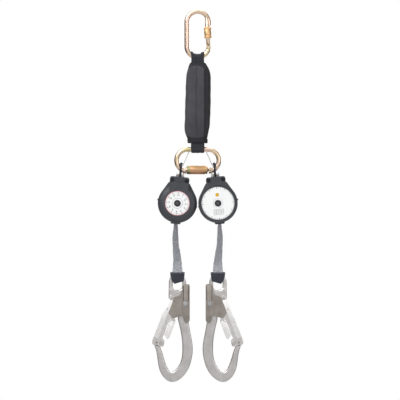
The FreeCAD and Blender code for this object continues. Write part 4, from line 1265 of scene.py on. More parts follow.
def stitched(name: str, lines: Sequence[Sequence[Vector]], pitch: float, thread: str,
             width: float = 0.0007, share: float = 0.72) -> bpy.types.Object:
    """Rows of stitches along lines.

    Args:
        name: the piece's name.
        lines: the rows, each a list of points.
        pitch: the distance between stitches in metres.
        thread: the thread's finish.
        width: the thread's width in metres.
        share: a stitch's length as a share of the pitch.

    Returns:
        The object.
    """
    return SEAM.follow(name, stitch(pitch * share, width), thread, lines, pitch)


def arc(centre: Vector, radius: float, start: float, end: float,
        steps: int) -> list[Vector]:
    """Points along an upright arc, from Y at 0 degrees to Z at 90.

    Args:
        centre: its centre.
        radius: its radius in metres.
        start: the first angle in degrees.
        end: the last angle in degrees.
        steps: how many runs it has.

    Returns:
        The points.
    """
    points = []
    for i in range(steps + 1):
        angle = math.radians(start + (end - start) * i / steps)
        points.append(centre + ALONG_Y * (radius * math.cos(angle))
                      + ALONG_Z * (radius * math.sin(angle)))
    return points


def along(table: Sequence[tuple[float, ...]], key: float) -> tuple[float, ...]:
    """Reads a table between its rows, smoothly.

    Args:
        table: rows that start with a key, in falling order.
        key: where it is read.

    Returns:
        The row's other values.
    """
    rows = list(table)
    if key >= rows[0][0]:
        return rows[0][1:]
    for i in range(len(rows) - 1):
        high, low = rows[i], rows[i + 1]
        if key >= low[0]:
            share = (high[0] - key) / (high[0] - low[0])
            before, after = rows[max(i - 1, 0)], rows[min(i + 2, len(rows) - 1)]
            values = []
            for k in range(1, len(high)):
                m0 = (low[k] - before[k]) / max(before[0] - low[0], 1e-9) * (high[0] - low[0])
                m1 = (after[k] - high[k]) / max(high[0] - after[0], 1e-9) * (high[0] - low[0])
                t2, t3 = share * share, share ** 3
                values.append((2 * t3 - 3 * t2 + 1) * high[k] + (t3 - 2 * t2 + share) * m0
                              + (-2 * t3 + 3 * t2) * low[k] + (t3 - t2) * m1)
            return tuple(values)
    return rows[-1][1:]


# --------------------------------------------------------------------------
# Sub-assemblies
# --------------------------------------------------------------------------


@dataclass
class Carabiner:
    """A plated oval carabiner with a gate, a rivet and a locking sleeve."""

    key: str
    joint: str

    def build(self) -> None:
        """Builds the carabiner's pieces."""
        body = f"{self.key}_carabiner"
        for node, finish, slot, rides in (
                (f"{body}_body", "plated_steel", "plated_steel", body),
                (f"{body}_pin", "pin_steel", "pin_steel", body),
                (f"{body}_gate", "plated_steel", "plated_steel", f"{self.key}_gate")):
            settle(refined(node, finish, angle=38.0), rides, slot)

    def axis_place(self) -> Matrix:
        """The sleeve's middle, with Z along its axis."""
        low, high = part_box(f"{self.key}_carabiner_sleeve")
        axis = next(j["axis"] for j in frame["joints"] if j["name"] == self.joint)
        turn = Vector(axis).to_track_quat("Z", "Y").to_matrix().to_4x4()
        return Matrix.Translation((low + high) / 2) @ turn


@dataclass
class ScrewCarabiner(Carabiner):
    """The top carabiner, whose sleeve screws over the nose."""

    knurls: int = 40
    bore: float = 5.3

    def build(self) -> None:
        """Builds the carabiner and its knurled sleeve."""
        super().build()
        profile = [(self.bore, -12), (7.2, -12), (7.9, -11.4), (7.9, -7.2), (7.35, -6.6),
                   (7.35, -5.9), (7.75, -5.2), (8.0, -2.4), (8.05, 0.0), (8.0, 2.4),
                   (7.75, 5.2), (7.35, 5.9), (7.35, 6.6), (7.9, 7.2), (7.9, 11.4),
                   (7.2, 12), (self.bore, 12)]
        place = self.axis_place()
        parts = [from_bmesh("barrel", hollow(profile), "sleeve_metal", place)]
        for middle in (-9.3, 9.3):
            parts.append(RING.run("knurl", rounded_block(mm(0.5, 0.62, 3.9), 0.00014, 1),
                                  "sleeve_metal", {"Count": self.knurls, "Radius": 7.95 * MM},
                                  moved(place, 0, 0, middle)))
        settle(joined("top_sleeve_piece", parts), "top_sleeve", "sleeve_metal",
               "top_carabiner_sleeve")


@dataclass
class TwistCarabiner(Carabiner):
    """The lower carabiner, whose sleeve springs back when it is let go."""

    ribs: int = 26
    bore: float = 5.5
    collar: float = 9.62

    def build(self) -> None:
        """Builds the carabiner, its ribbed sleeve and its keeper wires."""
        super().build()
        place = self.axis_place()
        profile = [(self.bore, -23.5), (8.1, -23.5), (8.9, -22.7), (9.0, -20.6), (8.6, -20.2),
                   (8.6, -19.6), (9.25, -19.0), (9.3, 17.6), (8.8, 18.2), (8.8, 18.9),
                   (9.3, 19.5), (9.2, 22.6), (8.4, 23.5), (self.bore, 23.5)]
        rib = rounded_block(mm(0.7, 1.25, 34.0), 0.0003, 2)
        way = 1.0 if place.to_3x3().col[2].x < 0 else -1.0
        collar = [(radius, way * z) for radius, z in
                  ((9.0, 15.2), (self.collar, 15.5), (self.collar, 22.0), (9.0, 22.4),
                   (9.0, 15.2))]
        parts = [from_bmesh("barrel", hollow(profile), "twist_metal", place),
                 from_bmesh("collar", hollow(collar), "collar_metal", place),
                 RING.run("ribs", rib, "twist_metal", {"Count": self.ribs, "Radius": 9.4 * MM},
                          moved(place, 0, 0, -0.6))]
        settle(joined("lower_sleeve_piece", parts), "lower_sleeve", "sleeve_metal",
               "lower_carabiner_sleeve")
        for side in Side:
            wire = refined(f"{side.value}_keeper_wire", "wire_steel")
            settle(wire, "lower_carabiner", "bright_steel")


@dataclass
class Absorber:
    """The energy absorber: a sewn pouch round a pack of tear webbing, and two loops.

    Each row of the pouch's table is a height, the left and right edges and the half depth,
    in millimetres.
    """

    rows: Sequence[tuple[float, ...]] = (
        (-109.8, -15.6, 15.6, 5.4),
        (-111.6, -17.2, 17.8, 7.2),
        (-115.0, -19.6, 21.2, 10.4),
        (-121.0, -22.6, 25.4, 13.8),
        (-130.0, -25.2, 28.8, 16.4),
        (-142.0, -26.6, 30.2, 17.6),
        (-170.0, -27.4, 30.4, 17.9),
        (-205.0, -28.5, 30.2, 17.9),
        (-236.0, -29.6, 29.4, 17.8),
        (-254.0, -30.3, 27.6, 17.4),
        (-264.0, -29.9, 26.0, 16.5),
        (-273.0, -27.2, 24.2, 14.4),
        (-281.0, -23.6, 22.6, 11.4),
        (-286.0, -22.3, 22.0, 9.6),
        (-290.8, -22.2, 21.9, 8.8),
    )
    ridge: float = 14.2
    crease: float = -2.0
    hem: float = 9.0
    binding: tuple[float, float] = (-109.9, -113.4)
    levels: int = 74
    corner_steps: int = 3
    broad_steps: int = 18
    side_steps: int = 4
    slack: float = 1.0
    pressure: float = 3.0
    cap: float = 0.005
    fill: float = 0.55
    seam_pitch: float = 0.0024
    hem_pitch: float = 0.0032
    loop_pitch: float = 0.0026

    def section(self, z: float, shrink: float = 0.0) -> list[Vector]:
        """One ring of the pouch, which has a broad front and a slanted right side.

        Args:
            z: its height in millimetres.
            shrink: how far it lies inside the finished skin in millimetres.

        Returns:
            The ring's points.
        """
        left, right, half = along(self.rows, z)
        left, right, half = left + shrink, right - shrink, half - shrink
        share = min(1.0, max(0.0, (right - 12.0) / 18.0))
        edge = min(self.ridge, right - 3.0)
        back = -edge * 0.9
        corners = [(left, -half * 0.42, 6.0), (left + 3.2, -half * 0.93, 3.5),
                   (edge, -half, 2.6), (right, -half * (0.35 - 0.2 * share), 5.0),
                   (right - 0.4, half * 0.5, 6.0), (right - 3.4, half * 0.94, 3.5),
                   (back, half, 2.6), (left, half * 0.35, 5.0)]
        points = []
        count = len(corners)
        for i, (x, y, soft) in enumerate(corners):
            before, after = corners[i - 1], corners[(i + 1) % count]
            corner = Vector((x, y, 0))
            to_a = Vector((before[0] - x, before[1] - y, 0))
            to_b = Vector((after[0] - x, after[1] - y, 0))
            a = corner + to_a.normalized() * min(soft, to_a.length * 0.4)
            b = corner + to_b.normalized() * min(soft, to_b.length * 0.4)
            for k in range(self.corner_steps + 1):
                t = k / self.corner_steps
                points.append(a * (1 - t) ** 2 + corner * (2 * t * (1 - t)) + b * t * t)
            steps = self.broad_steps if i in (1, 5) else self.side_steps
            end = (Vector((after[0], after[1], 0))
                   - to_b.normalized() * min(after[2], to_b.length * 0.4))
            points += [b.lerp(end, k / steps) for k in range(1, steps)]
        return [Vector((p.x, p.y, z)) * MM for p in points]

    def pouch(self) -> bpy.types.Object:
        """The pouch: lofted, swollen by a cloth simulation, then creased and gathered."""
        top, low = self.rows[0][0], self.rows[-1][0]
        heights = [top + (low - top) * i / self.levels for i in range(self.levels + 1)]
        shell = loft([self.section(z, self.slack if 2 < i < self.levels - 3 else 0.0)
                      for i, z in enumerate(heights)])
        piece = from_bmesh("absorber_pouch", shell, "cover_fabric", angle=180)
        self.inflate(piece)
        self.sculpt(piece.data)
        subdivided(piece)
        baked(piece)
        self.weather(piece.data)
        piece.data.shade_smooth()
        return piece

    def inflate(self, piece: bpy.types.Object) -> None:
        """Lets pressure fill the pouch, with its ends held.

        Args:
            piece: the pouch.
        """
        mesh = piece.data
        rest = [v.co.copy() for v in mesh.vertices]
        ends = [v.index for v in mesh.vertices
                if v.co.z > self.rows[1][0] * MM or v.co.z < self.rows[-3][0] * MM]
        held = piece.vertex_groups.new(name="held")
        held.add(ends, 1.0, "REPLACE")
        cloth = piece.modifiers.new("cloth", "CLOTH")
        for key, value in (("quality", 6), ("mass", 0.25), ("tension_stiffness", 18),
                           ("compression_stiffness", 12), ("bending_stiffness", 1.2),
                           ("use_pressure", True), ("uniform_pressure_force", self.pressure),
                           ("vertex_group_mass", "held")):
            setattr(cloth.settings, key, value)
        cloth.settings.effector_weights.gravity = 0
        cloth.point_cache.frame_start = 1
        cloth.point_cache.frame_end = SWELLING_FRAMES
        scene = bpy.context.scene
        for moment in range(1, SWELLING_FRAMES + 1):
            scene.frame_set(moment)
        swollen = final_mesh(piece)
        for vertex, start, end in zip(mesh.vertices, rest, swollen.vertices):
            move = end.co - start
            if move.length > self.cap:
                move *= self.cap / move.length
            vertex.co = start + move
        piece.modifiers.clear()
        piece.vertex_groups.clear()
        bpy.data.meshes.remove(swollen)
        scene.frame_set(1)

    def sculpt(self, mesh: bpy.types.Mesh) -> None:
        """Pulls in the front crease, the dent beside it and the gathers at both ends.

        Args:
            mesh: the pouch's mesh.
        """
        for vertex in mesh.vertices:
            x, y, z = (c / MM for c in vertex.co)
            if y < 0:
                mid = max(0.0, 1 - abs(z + 200) / 84)
                fold = math.exp(-((x - self.crease) / 1.5) ** 2) * min(1.0, mid * 3)
                dent = math.exp(-((x + 22) / 9) ** 2 - ((z + 252) / 15) ** 2)
                hollow = math.exp(-((x + 9) / 8) ** 2 - ((z + 170) / 34) ** 2)
                ripple = 0.35 * math.sin(z / 7.5 + x / 11) * mid
                seam = math.exp(-((x - self.ridge) / 1.6) ** 2) * min(1.0, mid * 4)
                y += 2.2 * fold + 3.4 * dent + 0.6 * hollow + ripple - 0.9 * seam
            gather = math.exp(-((z + 286) / 5.0) ** 2) + math.exp(-((z + 111) / 4.0) ** 2)
            y *= 1 + 0.05 * gather * math.sin(x * 0.9)
            vertex.co = mm(x, y, z)

    def weather(self, mesh: bpy.types.Mesh) -> None:
        """Adds the shallow wrinkles of stiff coated cloth.

        Args:
            mesh: the pouch's mesh.
        """
        mesh.update()
        normals = [v.normal.copy() for v in mesh.vertices]
        for vertex, normal in zip(mesh.vertices, normals):
            x, y, z = (c / MM for c in vertex.co)
            long_wave = math.sin(x / 3.1 + z / 19 + math.sin(z / 13)) * 0.16
            slant = math.sin((x + z * 1.5) / 9.0) * math.sin(z / 17 + y / 8) * 0.32
            vertex.co += normal * ((long_wave + slant) * MM)

    def band(self, name: str, high: float, low: float, proud: float = 0.7,
             steps: int = 6) -> bpy.types.Object:
        """A band of cloth sewn round the pouch.

        Args:
            name: the piece's name.
            high: its upper edge in millimetres.
            low: its lower edge in millimetres.
            proud: how far it stands off the pouch in millimetres.
            steps: how many rows it has.

        Returns:
            The object.
        """
        work = bmesh.new()
        rows = []
        for i in range(steps + 1):
            share = i / steps
            z = high + (low - high) * share
            roll = math.sin(math.pi * share) ** 0.35
            rows.append([work.verts.new(p) for p in self.section(z, -proud * roll)])
        count = len(rows[0])
        for upper, lower in zip(rows, rows[1:]):
            for i in range(count):
                j = (i + 1) % count
                work.faces.new((upper[i], upper[j], lower[j], lower[i]))
        piece = from_bmesh(name, work, "hem_fabric", angle=180)
        thickened(piece, 0.9, -1)
        return baked(piece)

    def build(self) -> None:
        """Builds the pouch, its hem and binding, its stitches and the two loops."""
        pouch = self.pouch()
        settle(pouch, "absorber", "cover_fabric", "absorber_cover")
        low = self.rows[-1][0]
        rings = [self.section(low + self.hem - 1.6, -0.9), self.section(low + 1.8, -0.75)]
        for piece in (self.band("absorber_hem", low + self.hem, low),
                      self.band("absorber_binding", *self.binding),
                      stitched("absorber_front_seam", [self.front_line(pouch)],
                               self.seam_pitch, "black_thread"),
                      stitched("absorber_hem_stitches", [ring + ring[:1] for ring in rings],
                               self.hem_pitch, "black_thread")):
            settle(piece, "absorber", "cover_fabric")
        paint("absorber_tear_webbing", "black_webbing")
        self.upper_loop()
        self.lower_loop()

    def front_line(self, pouch: bpy.types.Object) -> list[Vector]:
        """The line of the front panel's middle seam, on the finished pouch.

        Args:
            pouch: the pouch.

        Returns:
            The line's points.
        """
        skin = BVHTree.FromPolygons([v.co for v in pouch.data.vertices],
                                    [p.vertices for p in pouch.data.polygons])
        line = []
        for i in range(64):
            z = -123.0 - 153.0 * i / 63
            x = self.crease + 0.5 * math.sin(z / 11.0)
            spot = skin.ray_cast(mm(x, -60, z), ALONG_Y)[0]
            line.append(spot + mm(0, -0.15, 0))
        return line

    def upper_loop(self) -> None:
        """The loop on the top carabiner's lower bend, bunched by the bend."""
        bend, radius, half = 24.6, 6.9, 15.0
        middle, foot = -73.2, -111.5
        across, round_steps, drop = 28, 12, 9
        rows = []
        for i in range(across + 1):
            s = i / across * 2 - 1
            x = half * s
            bar_z = middle - math.sqrt(bend ** 2 - min(abs(x), 17) ** 2)
            bunch = (1.5 * math.exp(-((s + 0.86) / 0.22) ** 2) + 0.5 * math.sin(s * 13.0)
                     + 2.3 * math.exp(-((s - 0.7) / 0.17) ** 2))
            front, over, back = [], [], []
            for k in range(drop):
                t = k / drop
                swell = math.sin(math.pi * t)
                narrow, z = x * (1 - 0.05 * swell), foot + (bar_z - foot) * t
                pinch = radius + (1.2 - radius + 5.0) * (1 - t) * 0.35
                front.append((narrow, -pinch + 0.45 * math.sin(s * 9 + t * 4) * swell, z))
                back.append((narrow, pinch, z))
            for k in range(round_steps + 1):
                angle = math.pi - math.pi * k / round_steps
                reach = radius + max(0.0, bunch) * math.sin(angle)
                over.append((x, reach * math.cos(angle), bar_z + reach * math.sin(angle)))
            rows.append(front + over + back[::-1])
        self.sheet_loop("absorber_upper_loop_piece", rows, 30.0, "absorber_upper_loop",
                        [-100.5, -107.0])

    def lower_loop(self) -> None:
        """The loop on the lower carabiner's upper bar."""
        bar_z, radius, half, foot = -305.0, 6.8, 15.2, -289.6
        across, round_steps, drop = 20, 14, 6
        rows = []
        for i in range(across + 1):
            s = i / across * 2 - 1
            x = half * s
            edge = max(0.0, (abs(s) - 0.78) / 0.22) ** 2
            swell = 0.25 * (1 + math.sin(s * 9 + 1)) - 1.2 * edge
            front, under, back = [], [], []
            for k in range(drop):
                t = k / drop
                z, pinch = foot + (bar_z - foot) * t, radius - 0.6 * (1 - t) * 1.2
                front.append((x, -pinch, z))
                back.append((x, pinch, z))
            for k in range(round_steps + 1):
                angle = math.pi + math.pi * k / round_steps
                bow = abs(math.sin(angle))
                reach = radius + swell * bow
                under.append((x * (1 - 0.05 * bow), reach * math.cos(angle),
                              bar_z + 0.09 * math.sin(s * 6.0) + reach * math.sin(angle)))
            rows.append(front + under + back[::-1])
        self.sheet_loop("absorber_lower_loop_piece", rows, 30.4, "absorber_lower_loop",
                        [-293.6, -299.0])

    def sheet_loop(self, name: str, rows: list[list[tuple[float, float, float]]],
                   width: float, node: str, seams: Sequence[float]) -> None:
        """Makes a loop of webbing from its lines, with its stitching.

        Args:
            name: the piece's name.
            rows: lines along the loop, from one selvedge to the other.
            width: the webbing's width in millimetres.
            node: the CAD node that it stands for.
            seams: the heights of its rows of stitches.
        """
        work = bmesh.new()
        grid = [[work.verts.new(mm(*p)) for p in line] for line in rows]
        sheet = work.loops.layers.uv.new("UVMap")
        runs = [0.0]
        middle = rows[len(rows) // 2]
        for p, q in zip(middle, middle[1:]):
            runs.append(runs[-1] + (Vector(q) - Vector(p)).length / width)
        last = len(rows) - 1
        for i in range(last):
            for k in range(len(middle) - 1):
                patch(work, sheet,
                      (grid[i][k], grid[i + 1][k], grid[i + 1][k + 1], grid[i][k + 1]),
                      (i / last, (i + 1) / last), (runs[k], runs[k + 1]))
        piece = from_bmesh(name, work, "black_webbing", angle=180)
        thickened(piece, 1.9)
        soft = piece.modifiers.new("soft", "BEVEL")
        soft.width = 0.5 * MM
        soft.segments = 2
        soft.angle_limit = math.radians(50)
        baked(piece)
        smooth(piece.data, 60)
        settle(piece, "absorber", "black_webbing", node)
        lines = []
        for z in seams:
            line = []
            for row in rows[1:-1]:
                front = [p for p in row if p[1] < 0]
                near = min(front, key=lambda p: abs(p[2] - z))
                line.append(mm(near[0], near[1] - 1.15, z))
            lines.append(line)
        settle(stitched(f"{name}_stitches", lines, self.loop_pitch, "black_thread"),
               "absorber", "black_webbing")


@dataclass
class ReelUnit:
    """One self retracting reel: its housing, labels, fittings and inner parts."""

    side: Side
    hub: tuple[float, float, float] = (-45.4, 0.0, -426.0)
    lean: float = 5.5
    front_face: float = 22.87
    rear_face: float = 22.57
    front_radius: float = 27.3
    rear_radius: float = 36.5
    bore: float = 7.45
    film: float = 0.33
    ink_rise: float = 0.04
    neck_screws: tuple[float, float] = (16.5, 52.4)

    def __post_init__(self) -> None:
        """Works out the unit's own place."""
        self.name = self.side.value
        self.body = f"{self.name}_unit"
        lean = Matrix.Rotation(math.radians(self.lean), 4, "Y")
        self.place = moved(self.side.turn, *self.hub) @ lean

    def face(self, front: bool, proud: float) -> Matrix:
        """The place of a flat drawing on a face, with X to the right and Y up.

        Args:
            front: whether it is the front face.
            proud: how far it stands off the label in millimetres.

        Returns:
            The matrix.
        """
        way, depth = (1, -self.front_face) if front else (-1, self.rear_face)
        turn = Matrix(((way, 0, 0), (0, 0, -way), (0, 1, 0))).to_4x4()
        return moved(self.place, 0, depth - way * proud, 0) @ turn

    def build(self) -> None:
        """Builds all of the unit's pieces."""
        self.housing()
        self.front_label()
        self.rear_label()
        self.fittings()
        self.anchor_loop()
        self.inner_parts()

    def housing(self) -> None:
        """The two moulded covers, with rounded edges."""
        for cover in ("front_cover", "rear_cover"):
            piece = refined(f"{self.name}_{cover}", "housing_plastic",
                            Rounding(0.0007, 3, 28.0))
            settle(piece, self.body, "housing_plastic")

    def ring(self, name: str, inner: float, outer: float, finish: str, place: Matrix,
             thick: float = 0.05, steps: int = 96) -> bpy.types.Object:
        """A thin flat ring.

        Args:
            name: the piece's name.
            inner: the inner radius in millimetres.
            outer: the outer radius in millimetres.
            finish: the finish's name.
            place: where it goes.
            thick: its thickness in millimetres.
            steps: how many faces go round.

        Returns:
            The object.
        """
        profile = [(inner, -thick), (outer - 0.1, -thick), (outer, -thick * 0.6),
                   (outer - 0.05, 0.0), (inner + 0.05, 0.0), (inner, -thick)]
        return from_bmesh(name, hollow(profile, steps), finish, place)

    def ticks(self, name: str, count: int, radius: float, size: Vector, finish: str,
              place: Matrix) -> bpy.types.Object:
        """A ring of plain tick marks.

        Args:
            name: the piece's name.
            count: how many there are.
            radius: the radius of their middles in millimetres.
            size: a tick's size.
            finish: the ink.
            place: where they go.

        Returns:
            The object.
        """
        return RING.run(name, rounded_block(size, size.z * 0.3, 1), finish,
                        {"Count": count, "Radius": radius * MM}, place)

    def numbers(self, count: int, radius: float, height: float, finish: str,
                place: Matrix) -> list[bpy.types.Object]:
        """Plain numbers round a dial.

        Args:
            count: how many there are, from 1.
            radius: the radius of their middles in millimetres.
            height: their height in millimetres.
            finish: the ink.
            place: where they go.

        Returns:
            The objects.
        """
        made = []
        for i in range(1, count + 1):
            words = bpy.data.curves.new(f"number_{i}", "FONT")
            words.body = str(i)
            words.size = height * MM * 1.35
            words.align_x = words.align_y = "CENTER"
            words.extrude = 0.03 * MM
            words.resolution_u = 3
            text = linked(f"number_{i}", words)
            bpy.context.view_layer.update()
            mesh = final_mesh(text)
            bpy.data.objects.remove(text)
            angle = math.radians(90 - i * 360 / count)
            mesh.transform(moved(place, radius * math.cos(angle), radius * math.sin(angle), 0))
            made.append(new_object(f"number_{i}", mesh, finish))
        return made

    def front_label(self) -> None:
        """The small label on the dome: white film, a thin red edge and a plain dial."""
        base, ink = self.face(True, 0.0), self.face(True, self.ink_rise)
        r = self.front_radius
        parts = [self.ring("film", self.bore, r, "label_film", base, self.film),
                 self.ring("edge", r - 1.15, r - 0.25, "red_ink", ink),
                 self.ticks("marks", 60, r - 3.2, mm(1.5, 0.5, 0.05), "dark_ink", ink),
                 self.ticks("hours", 12, r - 3.7, mm(2.6, 1.3, 0.06), "dark_ink", ink),
                 self.ring("inner_ring", 11.4, 11.9, "grey_ink", ink)]
        parts += self.numbers(12, r - 8.6, 4.9, "dark_ink", ink)
        settle(joined(f"{self.name}_front_label", parts), self.body, "label_film",
               f"{self.name}_labels")

    def rear_label(self) -> None:
        """The large label on the back: white film, rim ticks and a plain dial."""
        base, ink = self.face(False, 0.0), self.face(False, self.ink_rise)
        r = self.rear_radius
        dot = lathe([(0.0, -0.04), (4.2, -0.04), (4.25, 0.0), (0.0, 0.0)], 48)
        spot = from_bmesh("spot", dot, "yellow_ink", moved(ink, 0, 19.0, 0))
        parts = [self.ring("film", self.bore, r, "label_film", base, self.film, 128),
                 self.ticks("marks", 48, r - 1.3, mm(1.7, 1.3, 0.05), "dark_ink", ink),
                 self.ticks("hours", 12, r - 2.2, mm(3.0, 1.3, 0.06), "dark_ink", ink),
                 self.ring("inner_ring", 10.6, 10.9, "grey_ink", ink), spot]
        parts += self.blank_table(ink)
        settle(joined(f"{self.name}_rear_label", parts), self.body, "label_film")

    def blank_table(self, place: Matrix) -> list[bpy.types.Object]:
        """A small ruled table of empty boxes, low on the rear label.

        Args:
            place: where the label's ink lies.

        Returns:
            The objects.
        """
        rules = [(22.0, 0.5, 0, -13.5 - 2.9 * i) for i in range(5)]
        rules += [(0.5, 11.6, -11.0 + 5.5 * i, -19.3) for i in range(5)]
        return [from_bmesh("rule", rounded_block(mm(wide, high, 0.05), 1e-5, 1), "grey_ink",
                           moved(place, x, y, 0)) for wide, high, x, y in rules]

    def fittings(self) -> None:
        """Hub caps with their hexagon screws, cover screws, bracket, pin and exit guide."""
        for node, finish, bevel, slot in (
                ("hub_caps", "cap_plastic", 0.0003, "dark_screw"),
                ("cover_screws", "dark_screw", 0.0002, "dark_screw"),
                ("load_bracket", "bright_steel", 0.0003, "bright_steel"),
                ("anchor_pin", "pin_steel", 0.0003, "pin_steel"),
                ("exit_guide", "guide_plastic", 0.0005, "housing_plastic")):
            piece = refined(f"{self.name}_{node}", finish, Rounding(bevel, 2, 30.0))
            settle(piece, self.body, slot)
        for front in (True, False):
            head = lathe([(0.0, -0.5), (3.3, -0.5), (3.3, 0.25), (2.9, 0.5), (1.5, 0.5),
                          (1.3, 0.1), (0.0, 0.1)], 6)
            bolt = from_bmesh(f"{self.name}_{'front' if front else 'rear'}_hub_bolt", head,
                              "bolt_steel", self.face(front, 0.55), 20)
            settle(bolt, self.body, "dark_screw")
        heads = []
        x_half, height = self.neck_screws
        for x in (-x_half, x_half):
            head = lathe([(0.0, -0.6), (4.2, -0.6), (4.2, 0.5), (3.4, 1.2), (1.7, 1.2),
                          (1.5, 0.4), (0.0, 0.4)], 32)
            heads.append(from_bmesh("head", head, "dark_screw",
                                    moved(self.face(False, 0.4), x, height, 0)))
        settle(joined(f"{self.name}_rear_neck_screws", heads), self.body, "dark_screw")

    def anchor_loop(self) -> None:
        """The narrow sewn loop from the bracket's pin round the carabiner's bar."""
        low_z, high_z, small, large = 63.0, 78.5, 4.8, 11.1
        tilt = math.degrees(math.asin((large - small) / (high_z - low_z)))
        path = arc(mm(0, 0, low_z), small * MM, 270, 360 - tilt, 8)
        path += arc(mm(0, 0, high_z), large * MM, -tilt, 180 + tilt, 26)
        path += arc(mm(0, 0, low_z), small * MM, 180 + tilt, 270, 8)
        path = [self.place @ p for p in path]
        across = (self.place.to_3x3() @ Vector((1, 0, 0))).normalized()
        count = len(path)
        piece = strap(f"{self.name}_anchor_strap", path, [across] * count,
                      [5.0 * MM] * count, 2.7 * MM, "loop_webbing", 0.15 * MM)
        settle(piece, self.body, "black_webbing", f"{self.name}_anchor_loop")
        wraps = []
        turns = [math.radians(t) for t in range(0, 360, 20)]
        for angle in (math.radians(t) for t in (66, 78, 90, 102, 114)):
            out = Vector((0, math.cos(angle), math.sin(angle)))
            spot = mm(0, large * out.y, high_z + large * out.z)
            side = Vector((1, 0, 0))
            run = out.cross(side)
            rings = []
            for turn in turns:
                point = spot + side * (2.9 * math.cos(turn) * MM) + out * (
                    2.0 * math.sin(turn) * MM)
                away = (point - spot).normalized()
                rings.append([self.place @ (point + away * (0.45 * MM * math.cos(t))
                                            + run * (0.55 * MM * math.sin(t)))
                              for t in (k * math.pi / 3 for k in range(6))])
            wraps.append(from_bmesh("wrap", loft(rings + rings[:1], False), "black_thread",
                                    angle=60))
        settle(joined(f"{self.name}_anchor_whipping", wraps), self.body, "black_webbing")

    def inner_parts(self) -> None:
        """The parts inside the covers, which keep their CAD shape."""
        for node, finish in (("axle", "bright_steel"), ("ratchet_ring", "pin_steel"),
                             ("power_spring", "bright_steel"), ("drum", "drum_aluminium"),
                             ("wound_webbing", "grey_webbing"), ("pawl_1", "pin_steel"),
                             ("pawl_2", "pin_steel")):
            paint(f"{self.name}_{node}", finish)


@dataclass
class Line:
    """The exposed grey webbing between a reel and its hook.

    Each row of the table is a height, the middle's x and the turn from flat in degrees.
    """

    side: Side
    rows: Sequence[tuple[float, ...]] = (
        (-468.5, -49.6, 84.0),
        (-474.0, -49.3, 70.0),
        (-482.0, -49.4, 62.0),
        (-492.0, -50.0, 56.0),
        (-504.0, -50.2, 52.0),
        (-520.0, -49.2, 49.0),
        (-536.0, -47.6, 42.0),
        (-550.0, -46.4, 32.0),
        (-560.0, -45.6, 16.0),
        (-565.0, -45.5, 6.0),
    )
    width: float = 22.0
    narrowing: float = 2.0
    thick: float = 2.1
    steps: int = 46

    def build(self) -> None:
        """Builds the strap, which is waved a little and narrows into the pad."""
        name = self.side.value
        low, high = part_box(f"{name}_lifeline_webbing")
        top, end = high.z / MM + 2.5, low.z / MM - 1.6
        turn = self.side.turn
        path, across, widths = [], [], []
        for i in range(self.steps + 1):
            z = top + (end - top) * i / self.steps
            x, angle = along(self.rows, z)
            angle = math.radians(angle)
            drift = 0.5 * math.sin(z / 9.0) + 0.3 * math.sin(z / 3.7)
            path.append(turn @ mm(x + drift * 0.3, drift * 0.5, z))
            across.append(turn.to_3x3() @ Vector((math.cos(angle), math.sin(angle), 0)))
            share = max(0.0, (-z - 545) / 20)
            waver = 0.5 * math.sin(z / 5.1) + 0.35 * math.sin(z / 2.3 + 1)
            widths.append((self.width + waver - self.narrowing * min(1.0, share)) * MM)
        piece = strap(f"{name}_line_strap", path, across, widths, self.thick * MM,
                      "grey_webbing", 0.12 * MM)
        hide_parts(f"{name}_lifeline_webbing")
        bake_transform(piece)
        LOG.info("%s bends between the reel and the line's end", piece.name)


